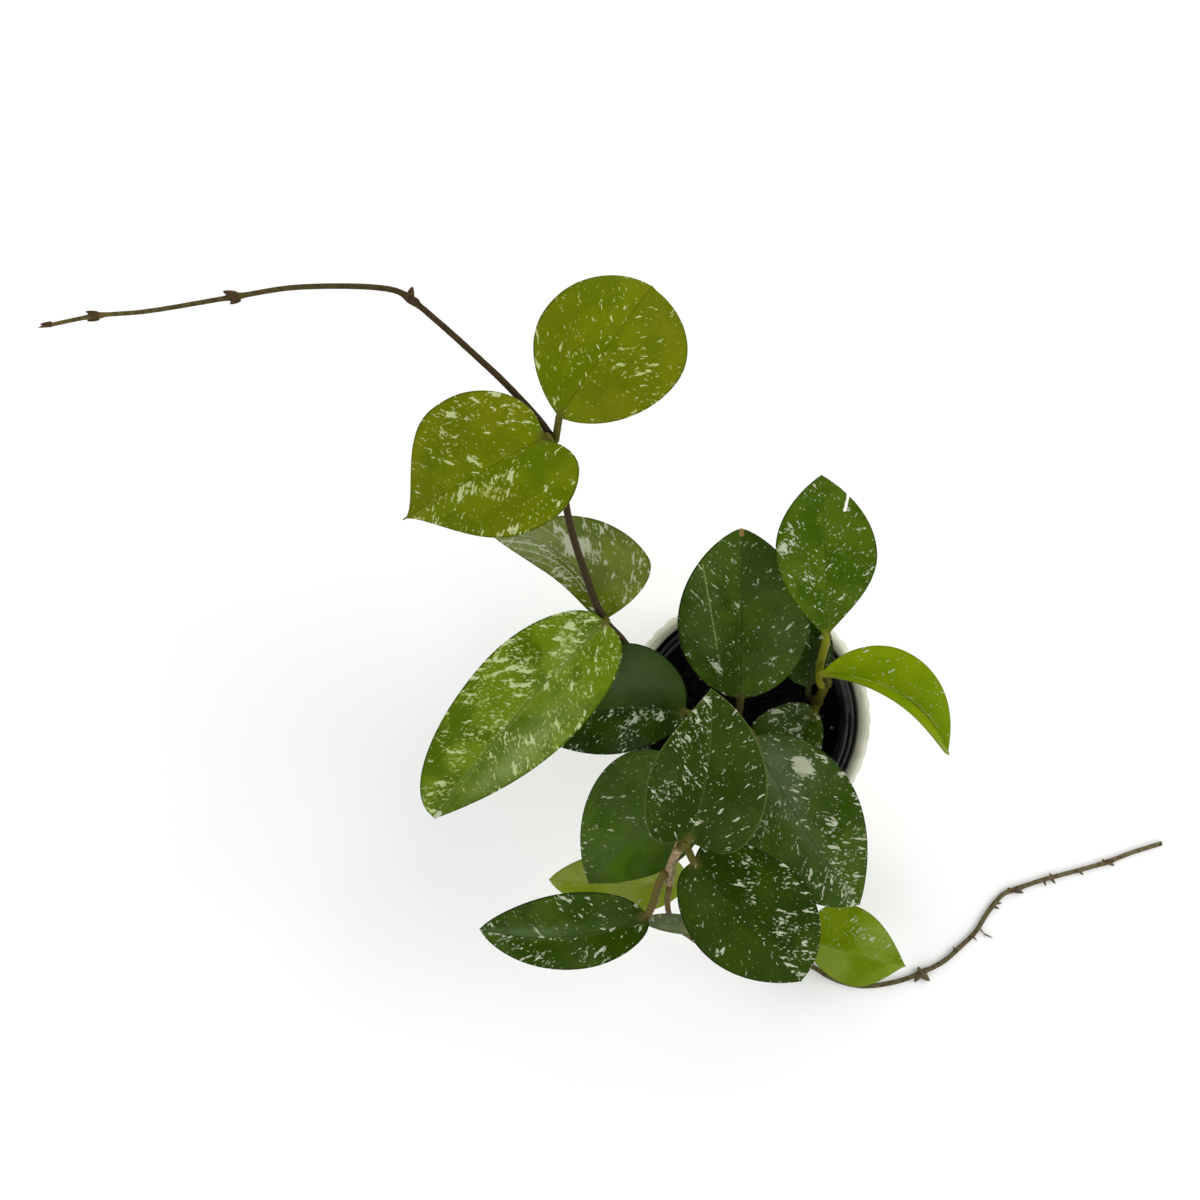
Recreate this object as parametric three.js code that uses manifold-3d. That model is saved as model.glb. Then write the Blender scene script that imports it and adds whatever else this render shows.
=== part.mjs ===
// Potted hoya: a young vine in a black nursery pot, which stands in a fluted ceramic cover pot.
// Millimetres, +Z up. The origin is the middle of the cover pot's flat bottom.

import * as THREE from 'three';
import { mergeVertices } from 'three/addons/utils/BufferGeometryUtils.js';
import Module from 'manifold-3d';

const wasm = await Module();
wasm.setup();

// Cover pot, glazed ceramic
const COVER_HEIGHT = 110;
const COVER_CREST_RADIUS = 60.6;
const COVER_MOUTH_RADIUS = 54.4;
const COVER_FOOT_RADIUS = 49;
const COVER_BELLY_RADIUS = 56.8;
const COVER_BELLY_HEIGHT = 50;
const COVER_FLOOR = 8;
const FLUTES = 48;
const FLUTE_DEPTH = 1.2;
const FLUTES_FROM = 5;
const FLUTES_TO = 105;

// Nursery pot, black plastic, a 10.5 cm pot
const NURSERY_LIP_RADIUS = 52.5;
const NURSERY_LIP_TOP = 107;
const NURSERY_STEP = 98;
const NURSERY_NECK_RADIUS = 49.5;
const NURSERY_BASE_RADIUS = 37;
const NURSERY_WALL = 1.4;
const NURSERY_SIDES = 64;
const DRAIN_HOLES = 5;
const DRAIN_RADIUS = 3.5;
const DRAIN_CIRCLE = 24;

// Potting mix and what stands in it
const MIX_LEVEL = 92;
const MIX_LUMPS = 1.3;
const MIX_SIDES = 40;
const TOUCH_GAP = 0.35;
const SOCKET_TOP = 100;

// Stems and leaves
const STEM_SIDES = 7;
const STEM_STEP = 11;
const JOINT_REACH = 3.2;
const BLADE_MIDDLE = 1.7;
const BLADE_EDGE = 0.9;
const BLADE_COLUMNS = 6;
const BLADE_STATIONS = [0.002, 0.01, 0.04, 0.1, 0.18, 0.3, 0.42, 0.54, 0.66, 0.77, 0.87, 0.95, 1];
const LOBE_SHARE = 0.4;
const TIP_HALF_WIDTH = 0.5;
const STALK_RINGS = 4;
const STALK_RADIUS = 1.8;

const UP = new THREE.Vector3(0, 0, 1);

// ---------------------------------------------------------------- shared geometry

function at(list) {
  return new THREE.Vector3(...list);
}

function finish(color, roughness) {
  return new THREE.MeshStandardMaterial({ color, roughness, metalness: 0 });
}

function named(name, geometry, material) {
  const mesh = new THREE.Mesh(geometry, material);
  mesh.name = name;
  return mesh;
}

// A closed skin over rings of equal count, counter-clockwise seen from the last ring, with flat end caps.
// The second half of each ring is cut on the other diagonal, so a thin blade is cut alike on both faces.
function skin(rings) {
  const count = rings[0].length;
  const last = (rings.length - 1) * count;
  const index = [];
  for (let k = 0; k < rings.length - 1; k += 1) {
    for (let j = 0; j < count; j += 1) {
      const a = k * count + j;
      const b = k * count + ((j + 1) % count);
      const [c, d] = [b + count, a + count];
      index.push(...(j < count / 2 ? [a, b, c, a, c, d] : [a, b, d, b, c, d]));
    }
  }
  for (let j = 1; j < count - 1; j += 1) {
    index.push(0, j + 1, j, last, last + j, last + j + 1);
  }
  const geometry = new THREE.BufferGeometry();
  const numbers = rings.flat().flatMap((p) => p.toArray());
  geometry.setAttribute('position', new THREE.Float32BufferAttribute(numbers, 3));
  geometry.setIndex(index);
  return geometry;
}

// A ring of points round a centre, in the plane of two unit directions.
function ring(centre, across, upward, radius, sides, start = 0) {
  return Array.from({ length: sides }, (_, j) => {
    const angle = start + (2 * Math.PI * j) / sides;
    return centre.clone()
      .addScaledVector(across, radius * Math.cos(angle))
      .addScaledVector(upward, radius * Math.sin(angle));
  });
}

// The solid of a closed geometry, for cutting and joining.
function solidOf(geometry) {
  const bare = geometry.clone();
  bare.deleteAttribute('normal');
  bare.deleteAttribute('uv');
  const merged = mergeVertices(bare, 1e-4);
  const faces = [];
  for (let i = 0; i < merged.index.count; i += 3) {
    const [a, b, c] = [merged.index.getX(i), merged.index.getX(i + 1), merged.index.getX(i + 2)];
    if (a !== b && b !== c && c !== a) {
      faces.push(a, b, c);
    }
  }
  const vertProperties = new Float32Array(merged.attributes.position.array);
  return new wasm.Manifold(new wasm.Mesh({ numProp: 3, vertProperties, triVerts: new Uint32Array(faces) }));
}

function geometryOf(solid) {
  const mesh = solid.getMesh();
  const geometry = new THREE.BufferGeometry();
  geometry.setAttribute('position', new THREE.BufferAttribute(mesh.vertProperties, 3));
  geometry.setIndex(new THREE.BufferAttribute(mesh.triVerts, 1));
  return geometry;
}

// A profile of radius and height turned about the upright axis.
function turned(profile, segments) {
  const geometry = new THREE.LatheGeometry(profile.map(([r, z]) => new THREE.Vector2(r, z)), segments);
  return geometry.rotateX(Math.PI / 2);
}

// ---------------------------------------------------------------- pots and potting mix

// Cover pot: the outer wall leans out to the rim, and its flutes are grooves between rounded crests.
function coverPot() {
  const foot = [[0, 0], [COVER_FOOT_RADIUS - 4, 0], [COVER_FOOT_RADIUS - 0.5, 1.5]];
  const fluted = [
    [COVER_FOOT_RADIUS + 1.5, FLUTES_FROM], [COVER_BELLY_RADIUS, COVER_BELLY_HEIGHT],
    [COVER_CREST_RADIUS, FLUTES_TO],
  ];
  const rim = [
    [COVER_CREST_RADIUS - 1.2, COVER_HEIGHT - 1.8], [COVER_CREST_RADIUS - 3, COVER_HEIGHT],
    [COVER_MOUTH_RADIUS + 0.6, COVER_HEIGHT - 1], [COVER_MOUTH_RADIUS, COVER_HEIGHT - 5],
  ];
  const inside = [
    [COVER_FOOT_RADIUS - 4, COVER_FLOOR + 2], [COVER_FOOT_RADIUS - 7, COVER_FLOOR], [0, COVER_FLOOR],
  ];
  const profile = [...foot, ...fluted, ...rim, ...inside];
  const geometry = turned(profile, 2 * FLUTES);
  const position = geometry.attributes.position;
  for (let i = 0; i < position.count; i += 1) {
    const row = i % profile.length;
    if (row >= foot.length && row < foot.length + fluted.length) {
      const [x, y] = [position.getX(i), position.getY(i)];
      const groove = (FLUTE_DEPTH / 2) * (1 - Math.cos(FLUTES * Math.atan2(y, x)));
      const share = 1 - groove / Math.hypot(x, y);
      position.setX(i, x * share);
      position.setY(i, y * share);
    }
  }
  return named('cover_pot', geometry, finish('#c9c8ab', 0.25));
}

// The nursery pot's outer radius at a height, below its step.
function nurseryWall(z) {
  const rise = (z - COVER_FLOOR) / (NURSERY_STEP - COVER_FLOOR);
  return NURSERY_BASE_RADIUS + rise * (NURSERY_NECK_RADIUS - NURSERY_BASE_RADIUS);
}

// Nursery pot: thin leaning wall, a step out to the upright lip, and drain holes through the floor.
function nurseryPot() {
  const base = COVER_FLOOR + TOUCH_GAP;
  const floor = base + NURSERY_WALL;
  const inner = (z) => nurseryWall(z) - NURSERY_WALL;
  const shell = turned([
    [0, base], [nurseryWall(base), base], [nurseryWall(NURSERY_STEP - 2), NURSERY_STEP - 2],
    [NURSERY_LIP_RADIUS, NURSERY_STEP], [NURSERY_LIP_RADIUS, NURSERY_LIP_TOP - 0.5],
    [NURSERY_LIP_RADIUS - 1, NURSERY_LIP_TOP], [NURSERY_LIP_RADIUS - 2, NURSERY_LIP_TOP - 0.5],
    [NURSERY_LIP_RADIUS - 2, NURSERY_STEP + 1.4], [inner(NURSERY_STEP), NURSERY_STEP],
    [inner(floor), floor], [0, floor],
  ], NURSERY_SIDES);
  let solid = solidOf(shell);
  for (let i = 0; i < DRAIN_HOLES; i += 1) {
    const angle = (2 * Math.PI * i) / DRAIN_HOLES;
    const hole = new THREE.CylinderGeometry(DRAIN_RADIUS, DRAIN_RADIUS, 4 * NURSERY_WALL, 10);
    hole.rotateX(Math.PI / 2);
    hole.translate(DRAIN_CIRCLE * Math.cos(angle), DRAIN_CIRCLE * Math.sin(angle), base);
    solid = solid.subtract(solidOf(hole));
  }
  return named('nursery_pot', geometryOf(solid), finish('#1d1e1f', 0.45));
}

// Potting mix: fills the nursery pot, lumpy on top, with a plain hole where each stem stands.
function pottingMix(stems) {
  const floor = COVER_FLOOR + 2 * TOUCH_GAP + NURSERY_WALL;
  const side = (z) => nurseryWall(z) - NURSERY_WALL - 1.3 * TOUCH_GAP;
  const top = side(MIX_LEVEL);
  const shares = [0.8, 0.6, 0.4, 0.2];
  const geometry = turned([
    [0, floor], [side(floor), floor], [top, MIX_LEVEL],
    ...shares.map((share) => [share * top, MIX_LEVEL]), [0, MIX_LEVEL],
  ], MIX_SIDES);
  const position = geometry.attributes.position;
  for (let i = 0; i < position.count; i += 1) {
    const [x, y, z] = [position.getX(i), position.getY(i), position.getZ(i)];
    if (z > MIX_LEVEL - 1) {
      const lump = Math.sin(x / 4.1 + 1) * Math.cos(y / 3.7) + 0.6 * Math.sin(x / 7.3 - y / 5.9);
      position.setZ(i, MIX_LEVEL + MIX_LUMPS * lump * Math.min(1, (top - Math.hypot(x, y)) / 8));
    }
  }
  let solid = solidOf(geometry);
  for (const stem of stems) {
    solid = solid.subtract(solidOf(skin(stem.socket())));
  }
  return named('potting_mix', geometryOf(solid), finish('#1a1613', 0.95));
}

// ---------------------------------------------------------------- stems

// A stem runs through its points, tapers from root to end and swells at its joints.
class Stem {
  constructor({ name, points, joints, root, end, swelling, pointed = false, color }) {
    Object.assign(this, { name, joints, root, end, swelling, pointed, color });
    this.curve = new THREE.CatmullRomCurve3(points.map(at));
    this.curve.arcLengthDivisions = 60 * (points.length - 1);
    const lengths = this.curve.getLengths();
    this.length = lengths[lengths.length - 1];
    this.jointArcs = joints.map((i) => lengths[60 * i]);
  }

  radiusAt(arc) {
    const taper = this.root + (this.end - this.root) * (arc / this.length);
    const swellings = this.jointArcs.map((joint) => Math.exp(-(((arc - joint) / JOINT_REACH) ** 2)));
    const swell = swellings.reduce((sum, height) => sum + height, 0);
    const nib = this.pointed ? Math.min(1, 0.3 + (this.length - arc) / 5) : 1;
    return (taper + this.swelling * Math.min(swell, 1)) * nib;
  }

  place(joint) {
    const arc = this.jointArcs[joint];
    const share = arc / this.length;
    return {
      point: this.curve.getPointAt(share),
      along: this.curve.getTangentAt(share),
      radius: this.radiusAt(arc),
    };
  }

  // Where rings go: an even step, with more round each joint and at a pointed end.
  stations() {
    const steps = Math.ceil(this.length / STEM_STEP);
    const near = this.jointArcs.flatMap((arc) => [arc - JOINT_REACH, arc, arc + JOINT_REACH]);
    const even = Array.from({ length: steps + 1 }, (_, i) => (this.length * i) / steps);
    const clear = even.filter((arc) => near.every((other) => Math.abs(other - arc) > 2.5));
    const nib = this.pointed ? [this.length - 3.5] : [];
    const all = [0, ...clear, ...near, ...nib, this.length].filter((arc) => arc >= 0 && arc <= this.length);
    return [...new Set(all)].sort((a, b) => a - b);
  }

  rings(stations = this.stations(), extra = 0) {
    let across = new THREE.Vector3(1, 0, 0);
    return stations.map((arc) => {
      const share = Math.min(arc / this.length, 1);
      const along = this.curve.getTangentAt(share);
      across = across.addScaledVector(along, -across.dot(along)).normalize();
      const upward = along.clone().cross(across);
      return ring(this.curve.getPointAt(share), across, upward, this.radiusAt(arc) + extra, STEM_SIDES);
    });
  }

  // The hole that the stem stands in: the buried length, a little wider and deeper, and up past the mix.
  socket() {
    const buried = this.stations().filter((arc) => this.curve.getPointAt(arc / this.length).z < SOCKET_TOP);
    const rings = this.rings(buried, TOUCH_GAP);
    const sink = this.curve.getTangentAt(0).multiplyScalar(-TOUCH_GAP);
    return [rings[0].map((p) => p.clone().add(sink)), ...rings.slice(1)];
  }

  mesh(spurs = []) {
    let solid = solidOf(skin(this.rings()));
    for (const spur of spurs) {
      solid = solid.add(solidOf(spur));
    }
    return named(this.name, geometryOf(solid), finish(this.color, 0.7));
  }
}

// A small pointed bud or a rootlet, sunk into the stem at its thick end.
function spur(from, to, radius) {
  const reach = at(to).sub(at(from));
  const cone = new THREE.CylinderGeometry(radius * 0.25, radius, reach.length(), 5);
  cone.translate(0, reach.length() / 2, 0);
  const turn = new THREE.Quaternion().setFromUnitVectors(new THREE.Vector3(0, 1, 0), reach.normalize());
  cone.applyQuaternion(turn);
  return cone.translate(...from);
}

const longVine = new Stem({
  name: 'stem_long_vine',
  points: [
    [-19, -14.5, 74], [-22, -9.5, 98], [-26, -3, 120], [-44.5, 18.5, 141], [-60, 39.5, 158],
    [-68.7, 49.5, 170], [-78, 73.5, 187], [-83.5, 92.5, 202], [-87, 113, 214], [-90.5, 125.5, 221],
    [-94, 131.5, 224], [-110.5, 149.5, 225], [-121, 159.5, 223], [-138, 175, 221], [-150.5, 185.5, 218],
    [-157.5, 189.5, 217], [-199, 192, 210], [-227.5, 188.5, 206], [-267.5, 183, 200], [-290, 181.5, 197],
    [-316, 177, 193],
  ],
  joints: [2, 5, 9, 14, 17, 19],
  root: 2.1,
  end: 0.9,
  swelling: 0.7,
  pointed: true,
  color: '#5a4a2c',
});

const oldStem = new Stem({
  name: 'stem_trailing',
  points: [
    [0, -13, 74], [-5, -4, 104], [-12, -20, 122], [-20.5, -36, 134], [-26.5, -47.5, 141],
    [-32.4, -56, 142], [-36.1, -63.6, 138.5], [-37.3, -70, 133.5], [-37.5, -76, 129.5],
  ],
  joints: [1, 2, 5, 7],
  root: 2.4,
  end: 2,
  swelling: 0.7,
  color: '#8a7a5c',
});

const trailingShoot = new Stem({
  name: 'trailing_shoot',
  points: [
    [-37, -74, 130], [-37.5, -80, 124], [-37.5, -87, 106], [-36, -97, 82], [-33.5, -103.5, 68],
    [-27, -112, 50], [-15, -123, 28], [1.5, -131.5, 11], [15, -135, 4], [31.5, -136.5, 1.8],
    [43, -138.3, 1.8], [52, -143.6, 1.8], [60.5, -147, 1.8], [72, -148.8, 1.8], [89.5, -146.2, 1.8],
    [101.5, -141.8, 1.8], [113.5, -135.8, 1.8], [122.5, -128, 1.8], [131, -119.5, 1.8], [136, -111.5, 1.7],
    [141, -104.5, 1.7], [146, -99.5, 1.7], [152.5, -97, 1.7], [167, -92, 1.7], [184, -87.5, 1.6],
    [201.5, -82.5, 1.6], [213, -78, 1.6], [230.5, -72.5, 1.5],
  ],
  joints: [5, 9, 15, 22, 25],
  root: 1.45,
  end: 1.2,
  swelling: 0.25,
  color: '#5d4b30',
});

const shortStem = new Stem({
  name: 'stem_short',
  points: [[36, -2, 74], [35, 1, 88], [35, 8.5, 103], [36.8, 14.3, 112], [37.5, 18.5, 120]],
  joints: [2, 4],
  root: 2.2,
  end: 2.2,
  swelling: 0.8,
  color: '#6d6a2c',
});

function longVineMesh() {
  return longVine.mesh([spur([-150.5, 185.5, 218], [-148, 190, 222], 2)]);
}

// The old stem ends blunt at its last joint, and the thinner trailing shoot grows on from there.
function trailingStemMesh() {
  const shoot = solidOf(skin(trailingShoot.rings()));
  const joined = [
    spur([101.5, -141.8, 2], [105.9, -145.4, 2], 1.5), spur([101.5, -141.8, 2], [98.6, -145.8, 2], 1.4),
    spur([101.5, -141.8, 2], [100, -138.6, 2.6], 1.3), spur([120, -130.5, 2], [118.5, -127.5, 3], 1.2),
    spur([129, -122, 2], [127.5, -119, 3], 1.2),
    spur([132.5, -117.5, 1.5], [139.5, -124.5, 0.8], 0.9), spur([140, -106, 2], [143.5, -107.5, 2], 1.2),
    spur([167, -92, 2], [168.5, -89, 3], 1.2),
  ].reduce((solid, cone) => solid.add(solidOf(cone)), shoot);
  const old = solidOf(skin(oldStem.rings()));
  return named(oldStem.name, geometryOf(old.add(joined)), finish(oldStem.color, 0.7));
}

// ---------------------------------------------------------------- leaves

// One side of a blade: how far it reaches from the midrib, where along the blade it is widest,
// and how round (below 1) or drawn out (above 1) it is towards the heel and the point.
function side(reach, widest, heel, point, belly = 2) {
  return { reach, widest, heel, point, belly };
}

function fullness({ widest, heel, point, belly }, t) {
  if (t < widest) {
    return (1 - (1 - t / widest) ** 2) ** heel;
  }
  return (1 - ((t - widest) / (1 - widest)) ** belly) ** point;
}

// The blade's middle surface. t runs from heel to point, v from the left edge (1) to the right edge (-1).
// The midrib is the line from heel to point, bowed sideways and arched; the edges rise by their lift,
// wave, and reach back past the heel by the lobe.
function bladePoint(leaf, t, v) {
  const run = at(leaf.point).sub(at(leaf.heel));
  const flat = new THREE.Vector3(run.x, run.y, 0).normalize();
  const aside = UP.clone().cross(flat);
  const bulge = 4 * t * (1 - t);
  const heading = run.clone().setZ(0).addScaledVector(aside, 4 * leaf.bow * (1 - 2 * t)).normalize();
  const left = UP.clone().cross(heading);
  const half = v >= 0 ? leaf.left : leaf.right;
  const full = fullness(half, t);
  const lift = v >= 0 ? leaf.lift[0] : leaf.lift[1];
  const rounding = Math.sin((Math.PI / 2) * Math.min(1, 1.6 * full));
  const back = v * v * Math.max(0, 1 - t / LOBE_SHARE) ** 2 * rounding;
  const lobe = (v >= 0 ? leaf.lobe[0] : leaf.lobe[1]) * back;
  const wave = leaf.wave * Math.sin(2 * Math.PI * (1.5 * t + 0.25 * v)) * v * v;
  return at(leaf.heel).addScaledVector(run, t)
    .addScaledVector(aside, leaf.bow * bulge)
    .addScaledVector(left, v * Math.max(half.reach * full, TIP_HALF_WIDTH))
    .addScaledVector(heading, -lobe)
    .addScaledVector(UP, leaf.arch * bulge + (lift * Math.abs(v) ** leaf.crease + wave) * full);
}

function bladeNormal(leaf, t, v) {
  const step = 0.01;
  const along = bladePoint(leaf, Math.min(t + step, 1), v).sub(bladePoint(leaf, Math.max(t - step, 0), v));
  const across = bladePoint(leaf, t, Math.min(v + step, 1)).sub(bladePoint(leaf, t, Math.max(v - step, -1)));
  return along.cross(across).normalize();
}

// One closed ring round the blade: over the upper face from left to right, and back under the lower one.
function bladeRing(leaf, t) {
  const columns = Array.from({ length: BLADE_COLUMNS + 1 }, (_, i) => 1 - (2 * i) / BLADE_COLUMNS);
  const offset = (v, sign) => {
    const half = (BLADE_EDGE + (BLADE_MIDDLE - BLADE_EDGE) * (1 - v * v)) / 2;
    return bladePoint(leaf, t, v).addScaledVector(bladeNormal(leaf, t, v), sign * half);
  };
  return [...columns.map((v) => offset(v, 1)), ...columns.map((v) => offset(v, -1)).reverse()];
}

// The leaf stalk: a round stalk that leaves the stem square to it and runs into the blade's midrib. Its bend
// says how wide its two curves are, 1 for a stalk that swings out and less for one that runs straight.
function stalkRings(leaf) {
  const { point, along, radius } = leaf.stem.place(leaf.joint);
  const heel = at(leaf.heel);
  const away = heel.clone().sub(point);
  away.addScaledVector(along, -away.dot(along)).normalize();
  const foot = point.clone().addScaledVector(away, radius + TOUCH_GAP);
  const midrib = bladePoint(leaf, 0.03, 0).sub(bladePoint(leaf, 0, 0)).normalize();
  const third = (leaf.bend * foot.distanceTo(heel)) / 3;
  const curve = new THREE.CubicBezierCurve3(
    foot, foot.clone().addScaledVector(away, third), heel.clone().addScaledVector(midrib, -third), heel,
  );
  const left = bladePoint(leaf, 0.03, 0.3).sub(bladePoint(leaf, 0.03, -0.3)).normalize();
  const sides = 2 * (BLADE_COLUMNS + 1);
  return Array.from({ length: STALK_RINGS }, (_, k) => {
    const share = k / (STALK_RINGS - 1);
    const forward = curve.getTangent(share);
    const across = left.clone().addScaledVector(forward, -left.dot(forward)).normalize();
    const upward = forward.clone().cross(across);
    return ring(curve.getPoint(share), across, upward, leaf.stalk, sides, Math.PI / sides);
  });
}

function leafMesh(leaf) {
  const whole = { lobe: [0, 0], wave: 0, crease: 1.3, bend: 1, stalk: STALK_RADIUS, ...leaf };
  const rings = [...stalkRings(whole), ...BLADE_STATIONS.map((t) => bladeRing(whole, t))];
  return named(leaf.name, skin(rings), finish(leaf.color, 0.4));
}

const DARK = '#33500f';
const BRIGHT = '#6d8410';

const leaves = [
  // Lowest on the long vine: a leaf folded up along its midrib.
  {
    name: 'leaf_folded_dark', stem: longVine, joint: 0, heel: [-31, 5.5, 141], point: [-106, -1.5, 149],
    bow: -5, arch: 5, lift: [3, 14], crease: 1, lobe: [3, 3], color: DARK,
    left: side(20.5, 0.45, 0.6, 0.8), right: side(30.5, 0.35, 0.65, 0.8),
  },
  // The pair at the vine's bend.
  {
    name: 'leaf_long_splashed', stem: longVine, joint: 1, heel: [-67.8, 47.5, 177], point: [-145, -42, 158],
    bow: -3, arch: 8, lift: [4, 3], wave: 1, lobe: [2, 2], color: '#44640c',
    left: side(25, 0.35, 0.36, 1), right: side(26.5, 0.42, 0.52, 0.43),
  },
  {
    name: 'leaf_behind_vine', stem: longVine, joint: 1, heel: [-68.2, 48.5, 161], point: [-119.7, 88, 150],
    bow: -12, arch: 2, lift: [-3, 5], crease: 1, color: '#6f7d5c',
    left: side(11, 0.55, 0.55, 0.7), right: side(29.5, 0.2, 0.9, 1.4, 1.6),
  },
  // The round pair above it.
  {
    name: 'leaf_round_pointed', stem: longVine, joint: 2, heel: [-93.3, 126.2, 229], point: [-154, 92, 214],
    bow: 0, arch: 6, lift: [3, 3], lobe: [9.5, 3], wave: 1, color: '#5f6e12', stalk: 1.6,
    left: side(32.3, 0.25, 0.35, 1.6, 2.5), right: side(33.5, 0.42, 0.42, 2.1, 3),
  },
  {
    name: 'leaf_round_top', stem: longVine, joint: 2, heel: [-87, 134.5, 230], point: [-48.5, 188, 236],
    bow: 0, arch: 6, lift: [3, 3], wave: 1, bend: 0.2, color: '#667412', stalk: 1.6,
    left: side(30, 0.47, 0.72, 0.55), right: side(32, 0.6, 0.65, 0.5),
  },
  // Under them all at the pot's left side, from the old stem.
  {
    name: 'leaf_lower_left', stem: oldStem, joint: 1, heel: [-27.5, -22, 125], point: [-75, -77.5, 117],
    bow: 0, arch: 3, lift: [2, 2], color: DARK,
    left: side(25, 0.4, 0.5, 1), right: side(30.5, 0.36, 0.4, 0.8),
  },
  // On the trailing stem: an oval leaf and a large splashed leaf from its joint in the pot.
  {
    name: 'leaf_oval', stem: oldStem, joint: 0, heel: [-3, 11, 116], point: [-5, 90.5, 150],
    bow: 0, arch: 4, lift: [3, 3], color: DARK,
    left: side(30, 0.45, 0.6, 0.73), right: side(31.5, 0.43, 0.5, 0.75),
  },
  {
    name: 'leaf_large_splashed', stem: oldStem, joint: 0, heel: [3, -8, 118], point: [53, -86.5, 122],
    bow: -3, arch: 8, lift: [2, 3], color: DARK,
    left: side(30, 0.42, 0.5, 0.87), right: side(29, 0.45, 0.5, 0.75),
  },
  // The pair where the stem goes over the rim.
  {
    name: 'leaf_heart', stem: oldStem, joint: 2, heel: [-29.5, -52.5, 153], point: [-20.5, 18, 174],
    bow: -3.5, arch: 6, lift: [4, 4], lobe: [6, 2], color: DARK,
    left: side(26, 0.35, 0.22, 1.1), right: side(28.5, 0.32, 0.22, 0.92),
  },
  {
    name: 'leaf_lower_centre', stem: oldStem, joint: 2, heel: [-26.5, -63.5, 143], point: [24, -121, 132],
    bow: 0, arch: 6, lift: [3, 3], lobe: [9, 3], color: DARK,
    left: side(32, 0.5, 0.52, 0.58), right: side(24.5, 0.42, 0.5, 0.87),
  },
  // The leaf at the old stem's blunt end, and four on the trailing shoot.
  {
    name: 'leaf_lower_long', stem: oldStem, joint: 3, heel: [-48.3, -91.9, 122], point: [-127.5, -100, 112],
    bow: 6, arch: 6, lift: [3, 3], lobe: [2, 0], bend: 0.5, color: DARK, stalk: 1.9,
    left: side(15.5, 0.4, 0.5, 0.75), right: side(21, 0.45, 0.5, 0.77),
  },
  {
    name: 'leaf_bright_left', stem: trailingShoot, joint: 0, heel: [-27, -85, 66], point: [-95, -80, 86],
    bow: 0, arch: 5, lift: [2, 2], color: BRIGHT, stalk: 1.4,
    left: side(15, 0.45, 0.6, 0.8), right: side(17, 0.4, 0.35, 0.8),
  },
  {
    name: 'leaf_small_grey', stem: trailingShoot, joint: 0,
    heel: [-14.5, -105, 81], point: [-52.5, -97.5, 98],
    bow: 0, arch: 2, lift: [2, -3], color: '#6c7a66', stalk: 1.2,
    left: side(4, 0.45, 0.6, 0.9), right: side(5, 0.45, 0.6, 0.9),
  },
  {
    name: 'leaf_bright_low', stem: trailingShoot, joint: 1, heel: [37.5, -120, 25], point: [89.5, -133.5, 27],
    bow: 0, arch: 5, lift: [2, -2], color: BRIGHT, stalk: 1.4,
    left: side(24.5, 0.35, 0.3, 1.1), right: side(17, 0.52, 0.7, 1.3),
  },
  // On the short stem.
  {
    name: 'leaf_top_right', stem: shortStem, joint: 1, heel: [34, 40, 150], point: [30, 114, 166],
    bow: 0, arch: 5, lift: [2, 3], bend: 0.4, color: '#43660a', stalk: 1.9,
    left: side(22.5, 0.55, 1.1, 0.9), right: side(23.3, 0.5, 1.3, 0.9),
  },
  {
    name: 'leaf_folded_bright', stem: shortStem, joint: 1, heel: [33.3, 23.4, 138], point: [94, -15, 128],
    bow: 10.6, arch: 8, lift: [3, 14], crease: 1, bend: 0.35, color: BRIGHT, stalk: 1.7,
    left: side(19.2, 0.41, 0.85, 1.15), right: side(4.5, 0.7, 1, 0.6),
  },
  {
    name: 'leaf_small_inner', stem: shortStem, joint: 0, heel: [30, 16.5, 110], point: [30, 54, 120],
    bow: 0, arch: 3, lift: [4, 5], crease: 1, color: '#2c4410', stalk: 1.5,
    left: side(13, 0.35, 0.45, 0.8), right: side(10.5, 0.45, 0.6, 0.8),
  },
  {
    name: 'leaf_small_splashed', stem: shortStem, joint: 0, heel: [33.2, 4.8, 111], point: [10, -27.5, 99],
    bow: 0, arch: 3, lift: [2, -3], lobe: [3, 3], color: '#3c5c10', stalk: 1.5,
    left: side(14.5, 0.5, 0.9, 0.8), right: side(20, 0.55, 0.65, 0.8),
  },
];

// ---------------------------------------------------------------- the whole plant

const plant = new THREE.Group();
plant.add(coverPot(), nurseryPot(), pottingMix([longVine, oldStem, shortStem]));
plant.add(longVineMesh(), trailingStemMesh(), shortStem.mesh());
plant.add(...leaves.map(leafMesh));

export default plant;
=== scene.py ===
import bpy
import numpy as np
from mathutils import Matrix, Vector


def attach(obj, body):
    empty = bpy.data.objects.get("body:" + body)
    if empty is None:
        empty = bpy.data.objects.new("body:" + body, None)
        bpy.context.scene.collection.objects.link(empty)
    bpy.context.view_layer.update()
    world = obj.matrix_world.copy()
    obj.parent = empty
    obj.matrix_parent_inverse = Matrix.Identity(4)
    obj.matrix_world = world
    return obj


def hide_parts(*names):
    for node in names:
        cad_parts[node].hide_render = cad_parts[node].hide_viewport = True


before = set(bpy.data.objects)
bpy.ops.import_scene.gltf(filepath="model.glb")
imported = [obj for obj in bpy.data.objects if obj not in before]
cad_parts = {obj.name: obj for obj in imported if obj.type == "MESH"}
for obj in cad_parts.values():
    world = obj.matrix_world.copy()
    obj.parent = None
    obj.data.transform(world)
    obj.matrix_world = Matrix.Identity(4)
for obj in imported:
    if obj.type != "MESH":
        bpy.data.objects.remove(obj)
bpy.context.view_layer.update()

# ---------------------------------------------------------------- view, tabletop and light
# The plant is looked at from straight above. It stands on a white tabletop, in soft light that comes from
# all sides and leaves only a faint shadow under the leaves.
EYE = (-0.070, 0.0576, 1.060)
LENS = 59.37
SENSOR_WIDTH = 36.0
FARTHEST_SEEN = 30.0
TABLE_HALF = 6.0
SKY = 1.12
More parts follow.
